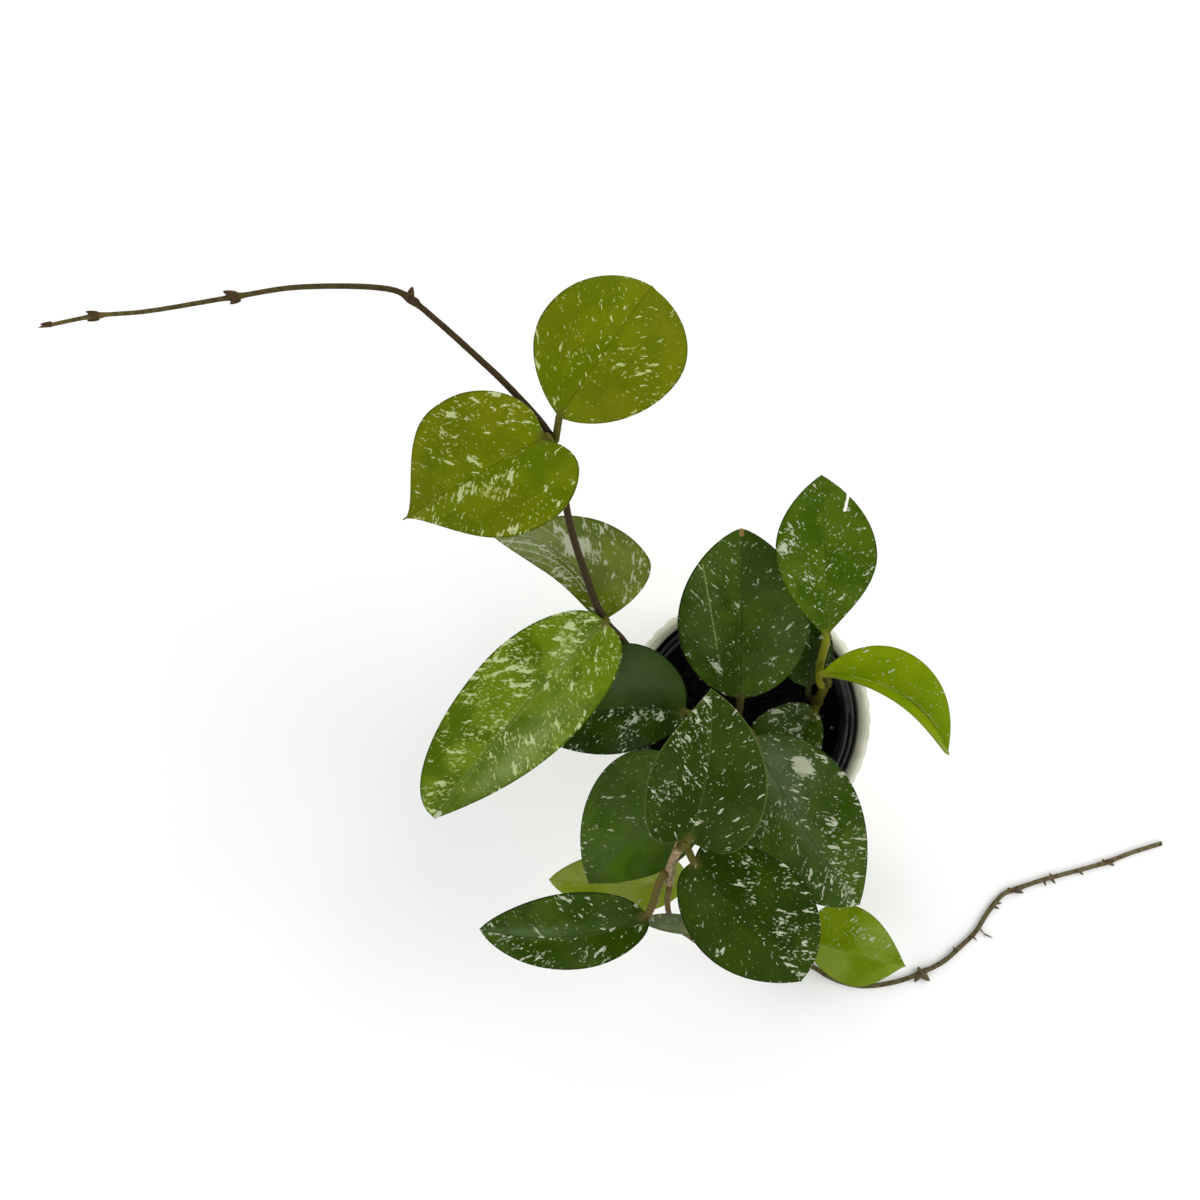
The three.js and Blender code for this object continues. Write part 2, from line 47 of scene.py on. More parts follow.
SKY_OVERHEAD = 0.12
SKY_DIMS_BETWEEN = (0.74, 0.92)
SOFTBOX_SIZE = 1.4


def srgb(red, green, blue):
    """A colour given as 0 to 255 display values, turned into linear light with an alpha of 1."""
    share = np.array([red, green, blue]) / 255
    linear = np.where(share <= 0.04045, share / 12.92, ((share + 0.055) / 1.055) ** 2.4)
    return (*linear.tolist(), 1.0)


def put(tree, kind, sockets=None, **settings):
    """A new node of that kind. Sockets are set by name or number, to a value or to a link from another
    node."""
    made = tree.nodes.new(kind)
    for name, value in settings.items():
        setattr(made, name, value)
    for key, value in (sockets or {}).items():
        if isinstance(value, bpy.types.NodeSocket):
            tree.links.new(value, made.inputs[key])
        else:
            made.inputs[key].default_value = value
    return made


def between(tree, number, low, high, start=0.0, end=1.0):
    """A value eased from start to end as a number goes from low to high."""
    sockets = {"Value": number, "From Min": low, "From Max": high, "To Min": start, "To Max": end}
    return put(tree, "ShaderNodeMapRange", sockets, interpolation_type="SMOOTHSTEP").outputs[0]


def shader(name, constants):
    """A material, its node tree and its shader, whose constants are set on the shader's own sockets."""
    material = bpy.data.materials.new(name)
    material.use_nodes = True
    tree = material.node_tree
    tree.nodes.clear()
    surface = put(tree, "ShaderNodeBsdfPrincipled", constants)
    put(tree, "ShaderNodeOutputMaterial", {"Surface": surface.outputs[0]})
    return material, tree, surface


eye = bpy.data.objects.new("eye", bpy.data.cameras.new("eye"))
eye.data.lens = LENS
eye.data.sensor_width = SENSOR_WIDTH
eye.data.clip_end = FARTHEST_SEEN
eye.location = EYE
bpy.context.scene.collection.objects.link(eye)
bpy.context.scene.camera = eye
bpy.context.scene.view_settings.view_transform = "Standard"

white, _, _ = shader("white_tabletop", {"Base Color": (0.94, 0.94, 0.94, 1.0), "Roughness": 0.9})
corners = [(x * TABLE_HALF, y * TABLE_HALF, 0.0) for x, y in ((-1, -1), (1, -1), (1, 1), (-1, 1))]
table_mesh = bpy.data.meshes.new("tabletop")
table_mesh.from_pydata(corners, [], [(0, 1, 2, 3)])
table_mesh.materials.append(white)
tabletop = bpy.data.objects.new("tabletop", table_mesh)
bpy.context.scene.collection.objects.link(tabletop)

# The studio is bright all round and dim overhead, so a leaf that faces the lens mirrors little of it.
world = bpy.data.worlds.new("studio")
world.use_nodes = True
sky = world.node_tree
outward = put(sky, "ShaderNodeTexCoord").outputs["Generated"]
upward = put(sky, "ShaderNodeSeparateXYZ", {0: outward}).outputs[2]
glow = between(sky, upward, *SKY_DIMS_BETWEEN, SKY, SKY * SKY_OVERHEAD)
sky.nodes["Background"].inputs["Color"].default_value = (1.0, 1.0, 1.0, 1.0)
sky.links.new(glow, sky.nodes["Background"].inputs["Strength"])
bpy.context.scene.world = world

# Softboxes: name, where it hangs, and its power. All are discs of one size, and face the plant.
softboxes = [
    ("softbox_left", (-1.3, 0.5, 1.5), 3.0),
    ("softbox_right", (1.5, 0.3, 1.3), 14.5),
    ("softbox_back", (-0.1, 1.6, 1.5), 6.0),
    ("softbox_front", (0.1, -1.6, 1.3), 4.5),
]
for name, place, power in softboxes:
    lamp = bpy.data.objects.new(name, bpy.data.lights.new(name, "AREA"))
    lamp.data.shape = "DISK"
    lamp.data.size = SOFTBOX_SIZE
    lamp.data.energy = power
    lamp.location = place
    lamp.rotation_euler = (-Vector(place)).to_track_quat("-Z", "Y").to_euler()
    lamp.visible_camera = False
    bpy.context.scene.collection.objects.link(lamp)

# ---------------------------------------------------------------- cover pot
# A thrown ceramic pot in a glossy cream-green glaze. Narrow ribs run up its wall from just above the foot to
# the rim; the glaze pools greener between them, and fine throwing lines ring the rounded rim. The rim's
# outer edge is darkened towards the pool colour as painted shade.
COVER_HEIGHT = 110.0
COVER_CREST_RADIUS = 60.6
COVER_MOUTH_RADIUS = 54.4
COVER_BELLY = (56.8, 50.0)
COVER_FOOT = (50.5, 5.0)
COVER_FLOOR = 8.0
RIM_START = 105.0
RIBS = 48
RIB_DEPTH = 1.2
RIB_ROUNDNESS = 0.9
RIBS_START = 2.5
RIBS_EASE_IN = 5.0
RIBS_EASE_OUT = 4.0
RIBBED_RIM_RINGS = 6
RIB_SIDES = 8
GLAZE_LIGHT = (232, 228, 204)
GLAZE = (202, 204, 182)
GLAZE_POOL_AND_SHADE = (158, 163, 136)
GLAZE_SPECK = (120, 110, 80)


def lathe(profile, sides):
    """Points of a profile of (radius, height) turned about the upright axis, one closed ring for each
    point."""
    angle = np.arange(sides) * 2 * np.pi / sides
    radius, height = np.array(profile, float).T
    return np.stack((radius[:, None] * np.cos(angle), radius[:, None] * np.sin(angle),
                     np.repeat(height[:, None], sides, axis=1)), axis=-1)


def wrapped(rows, count, start=0):
    """Quads over a stack of closed rings, with a flat cap on the first ring and on the last."""
    first = np.arange(rows * count).reshape(rows, count) + start
    after = np.roll(first, -1, axis=1)
    quads = np.stack((first[:-1], after[:-1], after[1:], first[1:]), axis=-1).reshape(-1, 4)
    return quads.tolist() + [first[0, ::-1].tolist(), first[-1].tolist()]


def surface_piece(name, points, faces, material, values=None):
    """A smooth mesh piece from points in millimetres, with a number for each point under each value's
    name."""
    mesh = bpy.data.meshes.new(name)
    mesh.from_pydata((points.reshape(-1, 3) / 1000).tolist(), [], faces)
    for key, numbers in (values or {}).items():
        value = mesh.attributes.new(key, "FLOAT", "POINT")
        value.data.foreach_set("value", numbers.astype(np.float32).ravel())
    mesh.polygons.foreach_set("use_smooth", np.ones(len(mesh.polygons), bool))
    mesh.materials.append(material)
    made = bpy.data.objects.new(name, mesh)
    bpy.context.scene.collection.objects.link(made)
    return made


def mix(tree, share, first, second):
    """The colour between two colours at a share from 0 to 1. Each is a link, or 0 to 255 display values."""
    ends = [srgb(*colour) if isinstance(colour, tuple) else colour for colour in (first, second)]
    return put(tree, "ShaderNodeMix", {0: share, 6: ends[0], 7: ends[1]}, data_type="RGBA").outputs[2]


def math(tree, operation, *numbers, clamped=False):
    """One step of arithmetic on values or links, kept between 0 and 1 where it is clamped."""
    made = put(tree, "ShaderNodeMath", dict(enumerate(numbers)), operation=operation, use_clamp=clamped)
    return made.outputs[0]


def times(tree, first, second):
    """The product of two values or links."""
    return math(tree, "MULTIPLY", first, second)


def plus(tree, first, second):
    """The sum of two values or links."""
    return math(tree, "ADD", first, second)


def minus(tree, first, second):
    """The first value or link less the second."""
    return math(tree, "SUBTRACT", first, second)


def vectors(tree, operation, first, second):
    """One step of arithmetic on two vectors, or links to them: a vector, or a number where that is the
    result."""
    made = put(tree, "ShaderNodeVectorMath", {0: first, 1: second}, operation=operation)
    return made.outputs["Value" if operation in ("DOT_PRODUCT", "DISTANCE") else "Vector"]


def noise(tree, vector, scale, detail=3.0, seed=0.0, roughness=0.5):
    """Cloudy noise around 0.5, read at a place, with a seed that turns it into another pattern."""
    sockets = {"Vector": vector, "W": seed, "Scale": scale, "Detail": detail, "Roughness": roughness}
    return put(tree, "ShaderNodeTexNoise", sockets, noise_dimensions="4D").outputs[0]


def bump(tree, surface, height, distance, strength=1.0):
    """Lets a height, in metres of distance, roughen a shader's surface."""
    made = put(tree, "ShaderNodeBump", {"Height": height, "Distance": distance, "Strength": strength})
    tree.links.new(made.outputs[0], surface.inputs["Normal"])


def place_on_piece(tree):
    """The place on the piece, in metres from the middle of the pot's foot."""
    return put(tree, "ShaderNodeTexCoord").outputs["Object"]


def carried(tree, name):
    """The number that the mesh carries for each point under that name."""
    return put(tree, "ShaderNodeAttribute", attribute_name=name).outputs["Fac"]


foot, foot_top = COVER_FOOT
belly, belly_height = COVER_BELLY
wall_height = np.linspace(foot_top, RIM_START, 40)
wall_curve = np.polyfit([foot_top, belly_height, RIM_START], [foot, belly, COVER_CREST_RADIUS], 2)
rim_turn = np.linspace(0, np.pi, 25)[1:]
rim_middle = (COVER_CREST_RADIUS + COVER_MOUTH_RADIUS) / 2
rim_half = (COVER_CREST_RADIUS - COVER_MOUTH_RADIUS) / 2
rim_height = RIM_START + (COVER_HEIGHT - RIM_START) * np.sin(rim_turn)
inner_height = np.linspace(RIM_START, COVER_FLOOR + 3, 24)[1:]
inner_radius = np.interp(inner_height, [COVER_FLOOR + 2, RIM_START], [foot - 5.5, COVER_MOUTH_RADIUS])
under_foot = [(0.5, 0.0), (20.0, 0.0), (foot - 5.5, 0.0), (foot - 3.0, 0.5), (foot - 1.0, 2.5)]
inside_floor = [(foot - 7.0, COVER_FLOOR + 0.6)] + [(reach, COVER_FLOOR) for reach in (foot - 9.0, 20.0, 0.5)]
cover_profile = under_foot + list(zip(np.polyval(wall_curve, wall_height), wall_height))
cover_profile += list(zip(rim_middle + rim_half * np.cos(rim_turn), rim_height))
cover_profile += list(zip(inner_radius, inner_height)) + inside_floor
cover_points = lathe(cover_profile, RIBS * RIB_SIDES)

# Each rib is the crest of an ellipse, so the grooves between the ribs are narrow and sharp. The ribs fade in
# above the foot and out on the rim, and the inside of the pot is smooth.
across_rib = 2 * ((np.arange(RIBS * RIB_SIDES) / RIB_SIDES + 0.5) % 1) - 1
groove = (1 - np.sqrt(1 - RIB_ROUNDNESS * across_rib ** 2)) / (1 - np.sqrt(1 - RIB_ROUNDNESS))
heights = np.array(cover_profile)[:, 1]
outside = np.arange(len(heights)) < len(under_foot) + len(wall_height) + RIBBED_RIM_RINGS
fade_in = np.clip((heights - RIBS_START) / RIBS_EASE_IN, 0, 1)
fade_out = np.clip((COVER_HEIGHT - 1.0 - heights) / RIBS_EASE_OUT, 0, 1)
depth = (fade_in * fade_out * outside)[:, None] * groove
cover_radius = np.maximum(np.hypot(cover_points[..., 0], cover_points[..., 1]), 1)
cover_points[..., :2] *= (1 - RIB_DEPTH * depth / cover_radius)[..., None]

glaze, tree, surface = shader(
    "cream_green_glaze", {"Roughness": 0.22, "Coat Weight": 0.9, "Coat Roughness": 0.05, "IOR": 1.5})
place = place_on_piece(tree)
cloud = noise(tree, place, 60.0, 4.0)
colour = mix(tree, between(tree, cloud, 0.35, 0.7), GLAZE, GLAZE_LIGHT)
colour = mix(tree, between(tree, carried(tree, "groove"), 0.25, 0.9), colour, GLAZE_POOL_AND_SHADE)
speck = between(tree, noise(tree, place, 900.0, 1.0, 3.0), 0.72, 0.76)
colour = mix(tree, times(tree, speck, 0.5), colour, GLAZE_SPECK)
apart = put(tree, "ShaderNodeSeparateXYZ", {0: place}).outputs
off_axis = math(tree, "SQRT", plus(tree, *(math(tree, "POWER", apart[axis], 2.0) for axis in (0, 1))))
ringed = put(tree, "ShaderNodeCombineXYZ", {0: off_axis, 1: apart[2]}).outputs[0]
turned = vectors(tree, "ADD", vectors(tree, "MULTIPLY", place, (0.06, 0.06, 0.0)), ringed)
lines = noise(tree, turned, 1100.0, 2.0)
colour = mix(tree, between(tree, lines, 0.5, 0.62, 0.0, 0.5), colour, GLAZE_POOL_AND_SHADE)
# Painted shade: the rim's outer edge, where it turns away from the light, is darkened towards the pool
# colour.
colour = mix(tree, between(tree, off_axis, 0.0572, 0.0602, 0.0, 0.6), colour, GLAZE_POOL_AND_SHADE)
tree.links.new(colour, surface.inputs["Base Color"])
bump(tree, surface, plus(tree, times(tree, lines, 0.5), cloud), 0.0008, 0.6)

cover_faces = wrapped(*cover_points.shape[:2])
cover_pot = surface_piece("cover_pot_glazed", cover_points, cover_faces, glaze, {"groove": depth})
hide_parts("cover_pot")
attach(cover_pot, "root")

# ---------------------------------------------------------------- nursery pot
# A thin moulded plastic pot, black and a little dusty, that stands loose in the cover pot. Its lip steps out
# from the wall, and a narrow channel is moulded into the top of the lip in four lengths.
NURSERY_LIP_RADIUS = 52.5
NURSERY_LIP_TOP = 107.0
NURSERY_STEP = 98.0
NURSERY_NECK_RADIUS = 49.5
NURSERY_BASE_RADIUS = 37.0
NURSERY_BOTTOM = 8.35
NURSERY_WALL = 1.4
NURSERY_SIDES = 256
CHANNEL_DEPTH = 3.5
CHANNEL_POINTS = slice(14, 16)
CHANNEL_EVERY = 90
CHANNEL_TURN = 58
CHANNEL_FROM, CHANNEL_TO = 2, 62
CHANNEL_EASE = 1.5
PLASTIC, PLASTIC_DUST, PLASTIC_GRIT = (38, 39, 41), (76, 76, 73), (22, 18, 14)

lip, top, step = NURSERY_LIP_RADIUS, NURSERY_LIP_TOP, NURSERY_STEP
neck, base, floor = NURSERY_NECK_RADIUS, NURSERY_BASE_RADIUS, NURSERY_BOTTOM + NURSERY_WALL
nursery_profile = [
    (0.5, NURSERY_BOTTOM), (20.0, NURSERY_BOTTOM), (base - 1, NURSERY_BOTTOM), (base, NURSERY_BOTTOM + 0.8),
    (base + 6, 50.0), (neck - 0.4, step - 2), (neck + 1.2, step - 1), (lip - 0.4, step - 0.6),
    (lip, step + 0.2), (lip, top - 0.8), (lip - 0.2, top - 0.2), (lip - 0.7, top), (lip - 1.3, top - 0.2),
    (lip - 1.5, top - 0.6), (lip - 1.7, top - 0.9), (lip - 2.6, top - 0.9), (lip - 2.8, top - 0.8),
    (lip - 3.6, top - 1.0), (lip - 4.1, top - 1.8), (neck - NURSERY_WALL, step),
    (base + 6 - NURSERY_WALL, 50.0), (base - NURSERY_WALL, floor + 1), (base - 3, floor), (20.0, floor),
    (0.5, floor),
]
nursery_points = lathe(nursery_profile, NURSERY_SIDES)
turn = (np.arange(NURSERY_SIDES) * 360 / NURSERY_SIDES + CHANNEL_TURN) % CHANNEL_EVERY
channel_in = np.clip((turn - CHANNEL_FROM) / CHANNEL_EASE, 0, 1)
channel_out = np.clip((CHANNEL_TO - turn) / CHANNEL_EASE, 0, 1)
nursery_points[CHANNEL_POINTS, :, 2] -= CHANNEL_DEPTH * channel_in * channel_out

plastic, tree, surface = shader("black_nursery_plastic", {"Roughness": 0.42, "Specular IOR Level": 0.45})
place = place_on_piece(tree)
dust = noise(tree, place, 90.0, 5.0, 2.0)
colour = mix(tree, between(tree, dust, 0.4, 0.75), PLASTIC, PLASTIC_DUST)
grit = between(tree, noise(tree, place, 700.0, 2.0, 5.0), 0.66, 0.7)
colour = mix(tree, times(tree, grit, 0.6), colour, PLASTIC_GRIT)
tree.links.new(colour, surface.inputs["Base Color"])
tree.links.new(between(tree, dust, 0.3, 0.7, 0.36, 0.6), surface.inputs["Roughness"])
bump(tree, surface, noise(tree, place, 500.0, 2.0), 0.0002, 0.4)

nursery_faces = wrapped(*nursery_points.shape[:2])
nursery_pot = surface_piece("nursery_pot_moulded", nursery_points, nursery_faces, plastic)
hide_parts("nursery_pot")
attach(nursery_pot, "root")

# ---------------------------------------------------------------- potting mix
# Damp, near-black mix of bark crumbs and fibre that fills the nursery pot to a finger's breadth under its
# rim. Loose crumbs lie on it, with a few pale and golden bits.
MIX_LEVEL = 92.0
MIX_FLOOR = 10.2
MIX_TOP_RADIUS = 46.6
MIX_FLOOR_RADIUS = 34.4
MIX_RINGS = 46
MIX_SIDES = 160
CRUMBS = 520
PALE_BITS = 26
CRUMB_SEED = 5
SOIL, SOIL_DRY, FIBRE = (5, 4, 5), (28, 23, 19), (64, 48, 28)
MINERAL, GOLDEN_BARK = (170, 160, 140), (150, 112, 56)


def lumps(x, y):
    """Height of the mix above its level: a few crossed waves from 7 to 46 mm long, like settled crumbs."""
    coarse = np.sin(x / 4.1 + 1) * np.cos(y / 3.7) + 0.6 * np.sin(x / 7.3 - y / 5.9)
    fine = 0.35 * np.sin(x / 1.3 + 2 * np.cos(y / 1.7)) * np.cos(y / 1.1 + x / 2.3)
    return 0.8 * coarse + fine


def crumbs(random, count, smallest, largest):
    """Points of loose angular crumbs: eight-cornered lumps, squashed, turned and strewn over the mix."""
    corner = np.array([(x, y, z) for z in (-1, 1) for x, y in ((-1, -1), (1, -1), (1, 1), (-1, 1))], float)
    size = random.uniform(smallest, largest, (count, 1, 1)) * random.uniform(0.4, 1.0, (count, 1, 3))
    shape = corner[None] * size * random.uniform(0.6, 1.1, (count, 8, 3))
    angle = random.uniform(0, np.pi, count)[:, None]
    tilt = random.uniform(-0.7, 0.7, count)[:, None]
    x, y, z = shape[..., 0], shape[..., 1], shape[..., 2]
    x, z = x * np.cos(tilt) - z * np.sin(tilt), x * np.sin(tilt) + z * np.cos(tilt)
    x, y = x * np.cos(angle) - y * np.sin(angle), x * np.sin(angle) + y * np.cos(angle)
    away = (MIX_TOP_RADIUS - 1.5) * np.sqrt(random.uniform(0, 1, count))[:, None]
    bearing = random.uniform(0, 2 * np.pi, count)[:, None]
    x0, y0 = away * np.cos(bearing), away * np.sin(bearing)
    return np.stack((x + x0, y + y0, z + MIX_LEVEL + lumps(x0, y0) + 0.3), axis=-1)


def crumb_faces(count, start):
    """Six quads for each eight-cornered lump."""
    box = np.array([(3, 2, 1, 0), (4, 5, 6, 7), (0, 1, 5, 4), (1, 2, 6, 5), (2, 3, 7, 6), (3, 0, 4, 7)])
    return (start + box[None] + 8 * np.arange(count)[:, None, None]).reshape(-1, 4).tolist()


mix_profile = [(0.5, MIX_FLOOR), (MIX_FLOOR_RADIUS, MIX_FLOOR)]
mix_profile += [(radius, MIX_LEVEL) for radius in np.linspace(MIX_TOP_RADIUS, 0.5, MIX_RINGS)]
mix_points = lathe(mix_profile, MIX_SIDES)
top_x, top_y = mix_points[2:, :, 0], mix_points[2:, :, 1]
level_edge = np.clip((MIX_TOP_RADIUS - np.hypot(top_x, top_y)) / 3, 0, 1)
mix_points[2:, :, 2] += lumps(top_x, top_y) * level_edge
random = np.random.default_rng(CRUMB_SEED)
crumb_points = crumbs(random, CRUMBS, 0.5, 1.9)
mix_all = np.concatenate((mix_points.reshape(-1, 3), crumb_points.reshape(-1, 3)))
mix_faces = wrapped(*mix_points.shape[:2]) + crumb_faces(CRUMBS, mix_points[..., 0].size)

soil, tree, surface = shader("damp_potting_mix", {"Roughness": 0.95, "Specular IOR Level": 0.15})
place = place_on_piece(tree)
grain = noise(tree, place, 350.0, 5.0, 1.0)
colour = mix(tree, between(tree, grain, 0.45, 0.75), SOIL, SOIL_DRY)
fibre = between(tree, noise(tree, place, 160.0, 4.0, 8.0), 0.66, 0.72)
colour = mix(tree, times(tree, fibre, 0.6), colour, FIBRE)
tree.links.new(colour, surface.inputs["Base Color"])
bump(tree, surface, grain, 0.0015)

potting_mix = surface_piece("potting_mix_crumbly", mix_all, mix_faces, soil)
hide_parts("potting_mix")
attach(potting_mix, "root")

pale, tree, surface = shader("pale_mineral_bits", {"Roughness": 0.8})
golden = between(tree, noise(tree, place_on_piece(tree), 60.0, 2.0), 0.42, 0.58)
tree.links.new(mix(tree, golden, MINERAL, GOLDEN_BARK), surface.inputs["Base Color"])
bit_points = crumbs(random, PALE_BITS, 0.45, 1.0)
bit_points[..., 2] += 0.6
pale_bits = surface_piece("potting_mix_pale_bits", bit_points, crumb_faces(PALE_BITS, 0), pale)
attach(pale_bits, "root")

# ---------------------------------------------------------------- stems
# Three living stems: a long climbing vine, a thick old stem with a thin trailing shoot, and a short upright
# one. They are round, taper slowly and swell at every joint, where leaves, buds and rootlets grow out.
STEM_RINGS_A_MM = 1.4
STEM_SIDES = 20
JOINT_REACH = 3.2
POINT_LENGTH = 5.0
SPROUT_RINGS = 9
SPROUT_SIDES = 10
STREAK = (40, 32, 18)


def unit(arrows):
    """Vectors made one long."""
    return arrows / np.linalg.norm(arrows, axis=-1)[..., None]


def smooth_path(points, step_mm):
    """A centripetal Catmull-Rom curve: each stretch is a cubic whose slopes come from the neighbouring
    points, weighed by the square roots of the distances between them. Returns places, slopes and each
    point's index."""
    given = np.array(points, float)
    ends = np.vstack((2 * given[0] - given[1], given, 2 * given[-1] - given[-2]))
    before, start, end, after = ends[:-3], ends[1:-2], ends[2:-1], ends[3:]
    pairs = ((before, start), (start, end), (end, after))
    gap = [np.sqrt(np.linalg.norm(b - a, axis=1))[:, None] for a, b in pairs]
    slope_in = (start - before) / gap[0] - (end - before) / (gap[0] + gap[1]) + (end - start) / gap[1]
    slope_out = (end - start) / gap[1] - (after - start) / (gap[1] + gap[2]) + (after - end) / gap[2]
    slope_in, slope_out = slope_in * gap[1], slope_out * gap[1]
    steps = np.maximum(np.ceil(np.linalg.norm(end - start, axis=1) / step_mm).astype(int), 2)
    stretch = np.repeat(np.arange(len(steps)), steps)
    marks = np.concatenate(([0], np.cumsum(steps)))
    u = ((np.arange(marks[-1]) - marks[stretch]) / steps[stretch])[:, None]
    stretch, u = np.append(stretch, len(steps) - 1), np.vstack((u, [[1.0]]))
    p, q, m, n = start[stretch], end[stretch], slope_in[stretch], slope_out[stretch]
    place = p + m * u + (3 * (q - p) - 2 * m - n) * u ** 2 + (2 * (p - q) + m + n) * u ** 3
    slope = m + 2 * (3 * (q - p) - 2 * m - n) * u + 3 * (2 * (p - q) + m + n) * u ** 2
    return place, unit(slope), marks


def tube(places, slopes, radii, steady, sides):
    """Rings round a path. Each lies square to its slope, and starts on the side that a steady direction
    gives."""
    across = unit(np.array(steady) - (slopes @ np.array(steady))[:, None] * slopes)
    upward = np.cross(slopes, across)
    angle = np.arange(sides) * 2 * np.pi / sides
    spoke = across[:, None] * np.cos(angle)[:, None] + upward[:, None] * np.sin(angle)[:, None]
    return places[:, None] + spoke * radii.reshape(len(places), -1)[..., None]


def stem(points, joints, root, end, swelling, steady, pointed=False):
    """A stem as a tube (its rings, the share of its length at each ring, how near each ring is to a joint),
    and each joint's place, slope and radius. The radius tapers evenly, and swells as a bell curve at each
    joint."""
    places, slopes, marks = smooth_path(points, STEM_RINGS_A_MM)
    along = np.concatenate(([0], np.cumsum(np.linalg.norm(np.diff(places, axis=0), axis=1))))
    near = np.exp(-((along[:, None] - along[marks[joints]]) / JOINT_REACH) ** 2).sum(axis=1).clip(0, 1)
    share = along / along[-1]
    radii = root + (end - root) * share + swelling * near
    if pointed:
        radii = radii * np.sqrt(np.clip((along[-1] - along) / POINT_LENGTH, 0.02, 1))
    bark = 1 + 0.03 * np.sin(along[:, None] / 2.1 + 3 * np.arange(STEM_SIDES)) * np.cos(along[:, None] / 0.9)
    rings = tube(places, slopes, radii[:, None] * bark, steady, STEM_SIDES)
    knots = [(places[marks[j]], slopes[marks[j]], radii[marks[j]]) for j in joints]
    return (rings, share, near), knots


def sprouts(rows, stem_share, joint):
    """Buds or rootlets as tubes, coloured as the stem is at one share of its length and one nearness to a
    joint. Each row gives where one starts, where it ends and its radius, which narrows as a cosine to a
    round point."""
    share = np.linspace(0, 1, SPROUT_RINGS)
    made = []
    for start, end, radius in rows:
        start, end = np.array(start, float), np.array(end, float)
        slope = unit(end - start)
        steady = (0.3, 0.2, 1.0) if abs(slope[2]) < 0.8 else (1.0, 0.2, 0.0)
        places = start + share[:, None] * (end - start)
        radii = radius * np.cos(share * np.pi / 2) ** 0.7 + 0.03
        rings = tube(places, np.repeat(slope[None], SPROUT_RINGS, axis=0), radii, steady, SPROUT_SIDES)
        made.append((rings, np.full(SPROUT_RINGS, stem_share), np.full(SPROUT_RINGS, joint)))
    return made


def stem_piece(name, tubes, material):
    """Stems and sprouts as one mesh, which carries each ring's share and nearness to a joint."""
    points, faces, shares, nears = [], [], [], []
    start = 0
    for rings, share, near in tubes:
        faces += wrapped(*rings.shape[:2], start)
        points.append(rings.reshape(-1, 3))
        shares.append(np.repeat(share, rings.shape[1]))
        nears.append(np.repeat(near, rings.shape[1]))
        start += rings.shape[0] * rings.shape[1]
    values = {"share": np.concatenate(shares), "joint": np.concatenate(nears)}
    return surface_piece(name, np.concatenate(points), faces, material, values)


def bark_material(name, stops, joint_colour, speck_colour, specks, grain=420.0):
    """Stem skin: colours that change along the stem, darker joints, fine streaks and pale breathing spots."""
    material, tree, surface = shader(name, {"Roughness": 0.6, "Specular IOR Level": 0.12})
    place = place_on_piece(tree)
    ramp = put(tree, "ShaderNodeValToRGB", {0: carried(tree, "share")})
    elements = ramp.color_ramp.elements
    for element, (position, colour) in ((elements[0], stops[0]), (elements[1], stops[-1])):
        element.position = position
        element.color = srgb(*colour)
    for position, colour in stops[1:-1]:
        elements.new(position).color = srgb(*colour)
    joint = times(tree, between(tree, carried(tree, "joint"), 0.3, 1.0), 0.75)
    colour = mix(tree, joint, ramp.outputs[0], joint_colour)
    streak = noise(tree, place, grain, 4.0, 2.0)
    colour = mix(tree, times(tree, between(tree, streak, 0.47, 0.6), 0.6), colour, STREAK)
    spot = between(tree, noise(tree, place, 1100.0, 2.0, 7.0), 0.72 - specks, 0.76 - specks)
    colour = mix(tree, times(tree, spot, 0.7), colour, speck_colour)
    tree.links.new(colour, surface.inputs["Base Color"])
    bump(tree, surface, streak, 0.0006)
    return material


vine_bark = bark_material(
    "vine_bark",
    [(0.0, (60, 58, 14)), (0.3, (52, 40, 16)), (0.62, (58, 44, 20)), (0.8, (76, 66, 28)),
     (1.0, (96, 84, 42))],
    (66, 42, 28), (112, 98, 60), 0.03)
long_vine_points = [
    (-19, -14.5, 74), (-22, -9.5, 98), (-26, -3, 120), (-44.5, 18.5, 141), (-60, 39.5, 158),
    (-68.7, 49.5, 170), (-78, 73.5, 187), (-83.5, 92.5, 202), (-87, 113, 214), (-90.5, 125.5, 221),
    (-94, 131.5, 224), (-110.5, 149.5, 225), (-121, 159.5, 223), (-138, 175, 221), (-150.5, 185.5, 218),
    (-157.5, 189.5, 217), (-199, 192, 210), (-227.5, 188.5, 206), (-267.5, 183, 200), (-290, 181.5, 197),
    (-316, 177, 193),
]
long_joints = [2, 5, 9, 14, 17, 19]
long_tube, long_knots = stem(long_vine_points, long_joints, 2.1, 0.9, 0.7, (1.0, 1.0, 0.0), pointed=True)
long_buds = sprouts([
    ((-151, 185.8, 218), (-149.4, 190.4, 222), 1.9), ((-150, 185.2, 218), (-146.4, 184.4, 219.5), 1.7),
    ((-227, 189, 206.5), (-232.5, 190.5, 208), 1.7), ((-226, 188, 205.5), (-230, 185.5, 204.5), 1.7),
    ((-289, 182, 197.5), (-294, 183.2, 198.5), 1.4), ((-289, 181, 196.5), (-294, 179.4, 196), 1.4),
    ((-310, 178.2, 194.2), (-315, 178.2, 194.2), 1.3),
], 0.75, 0.8)
long_vine = stem_piece("long_vine", [long_tube, *long_buds], vine_bark)
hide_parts("stem_long_vine")
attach(long_vine, "root")

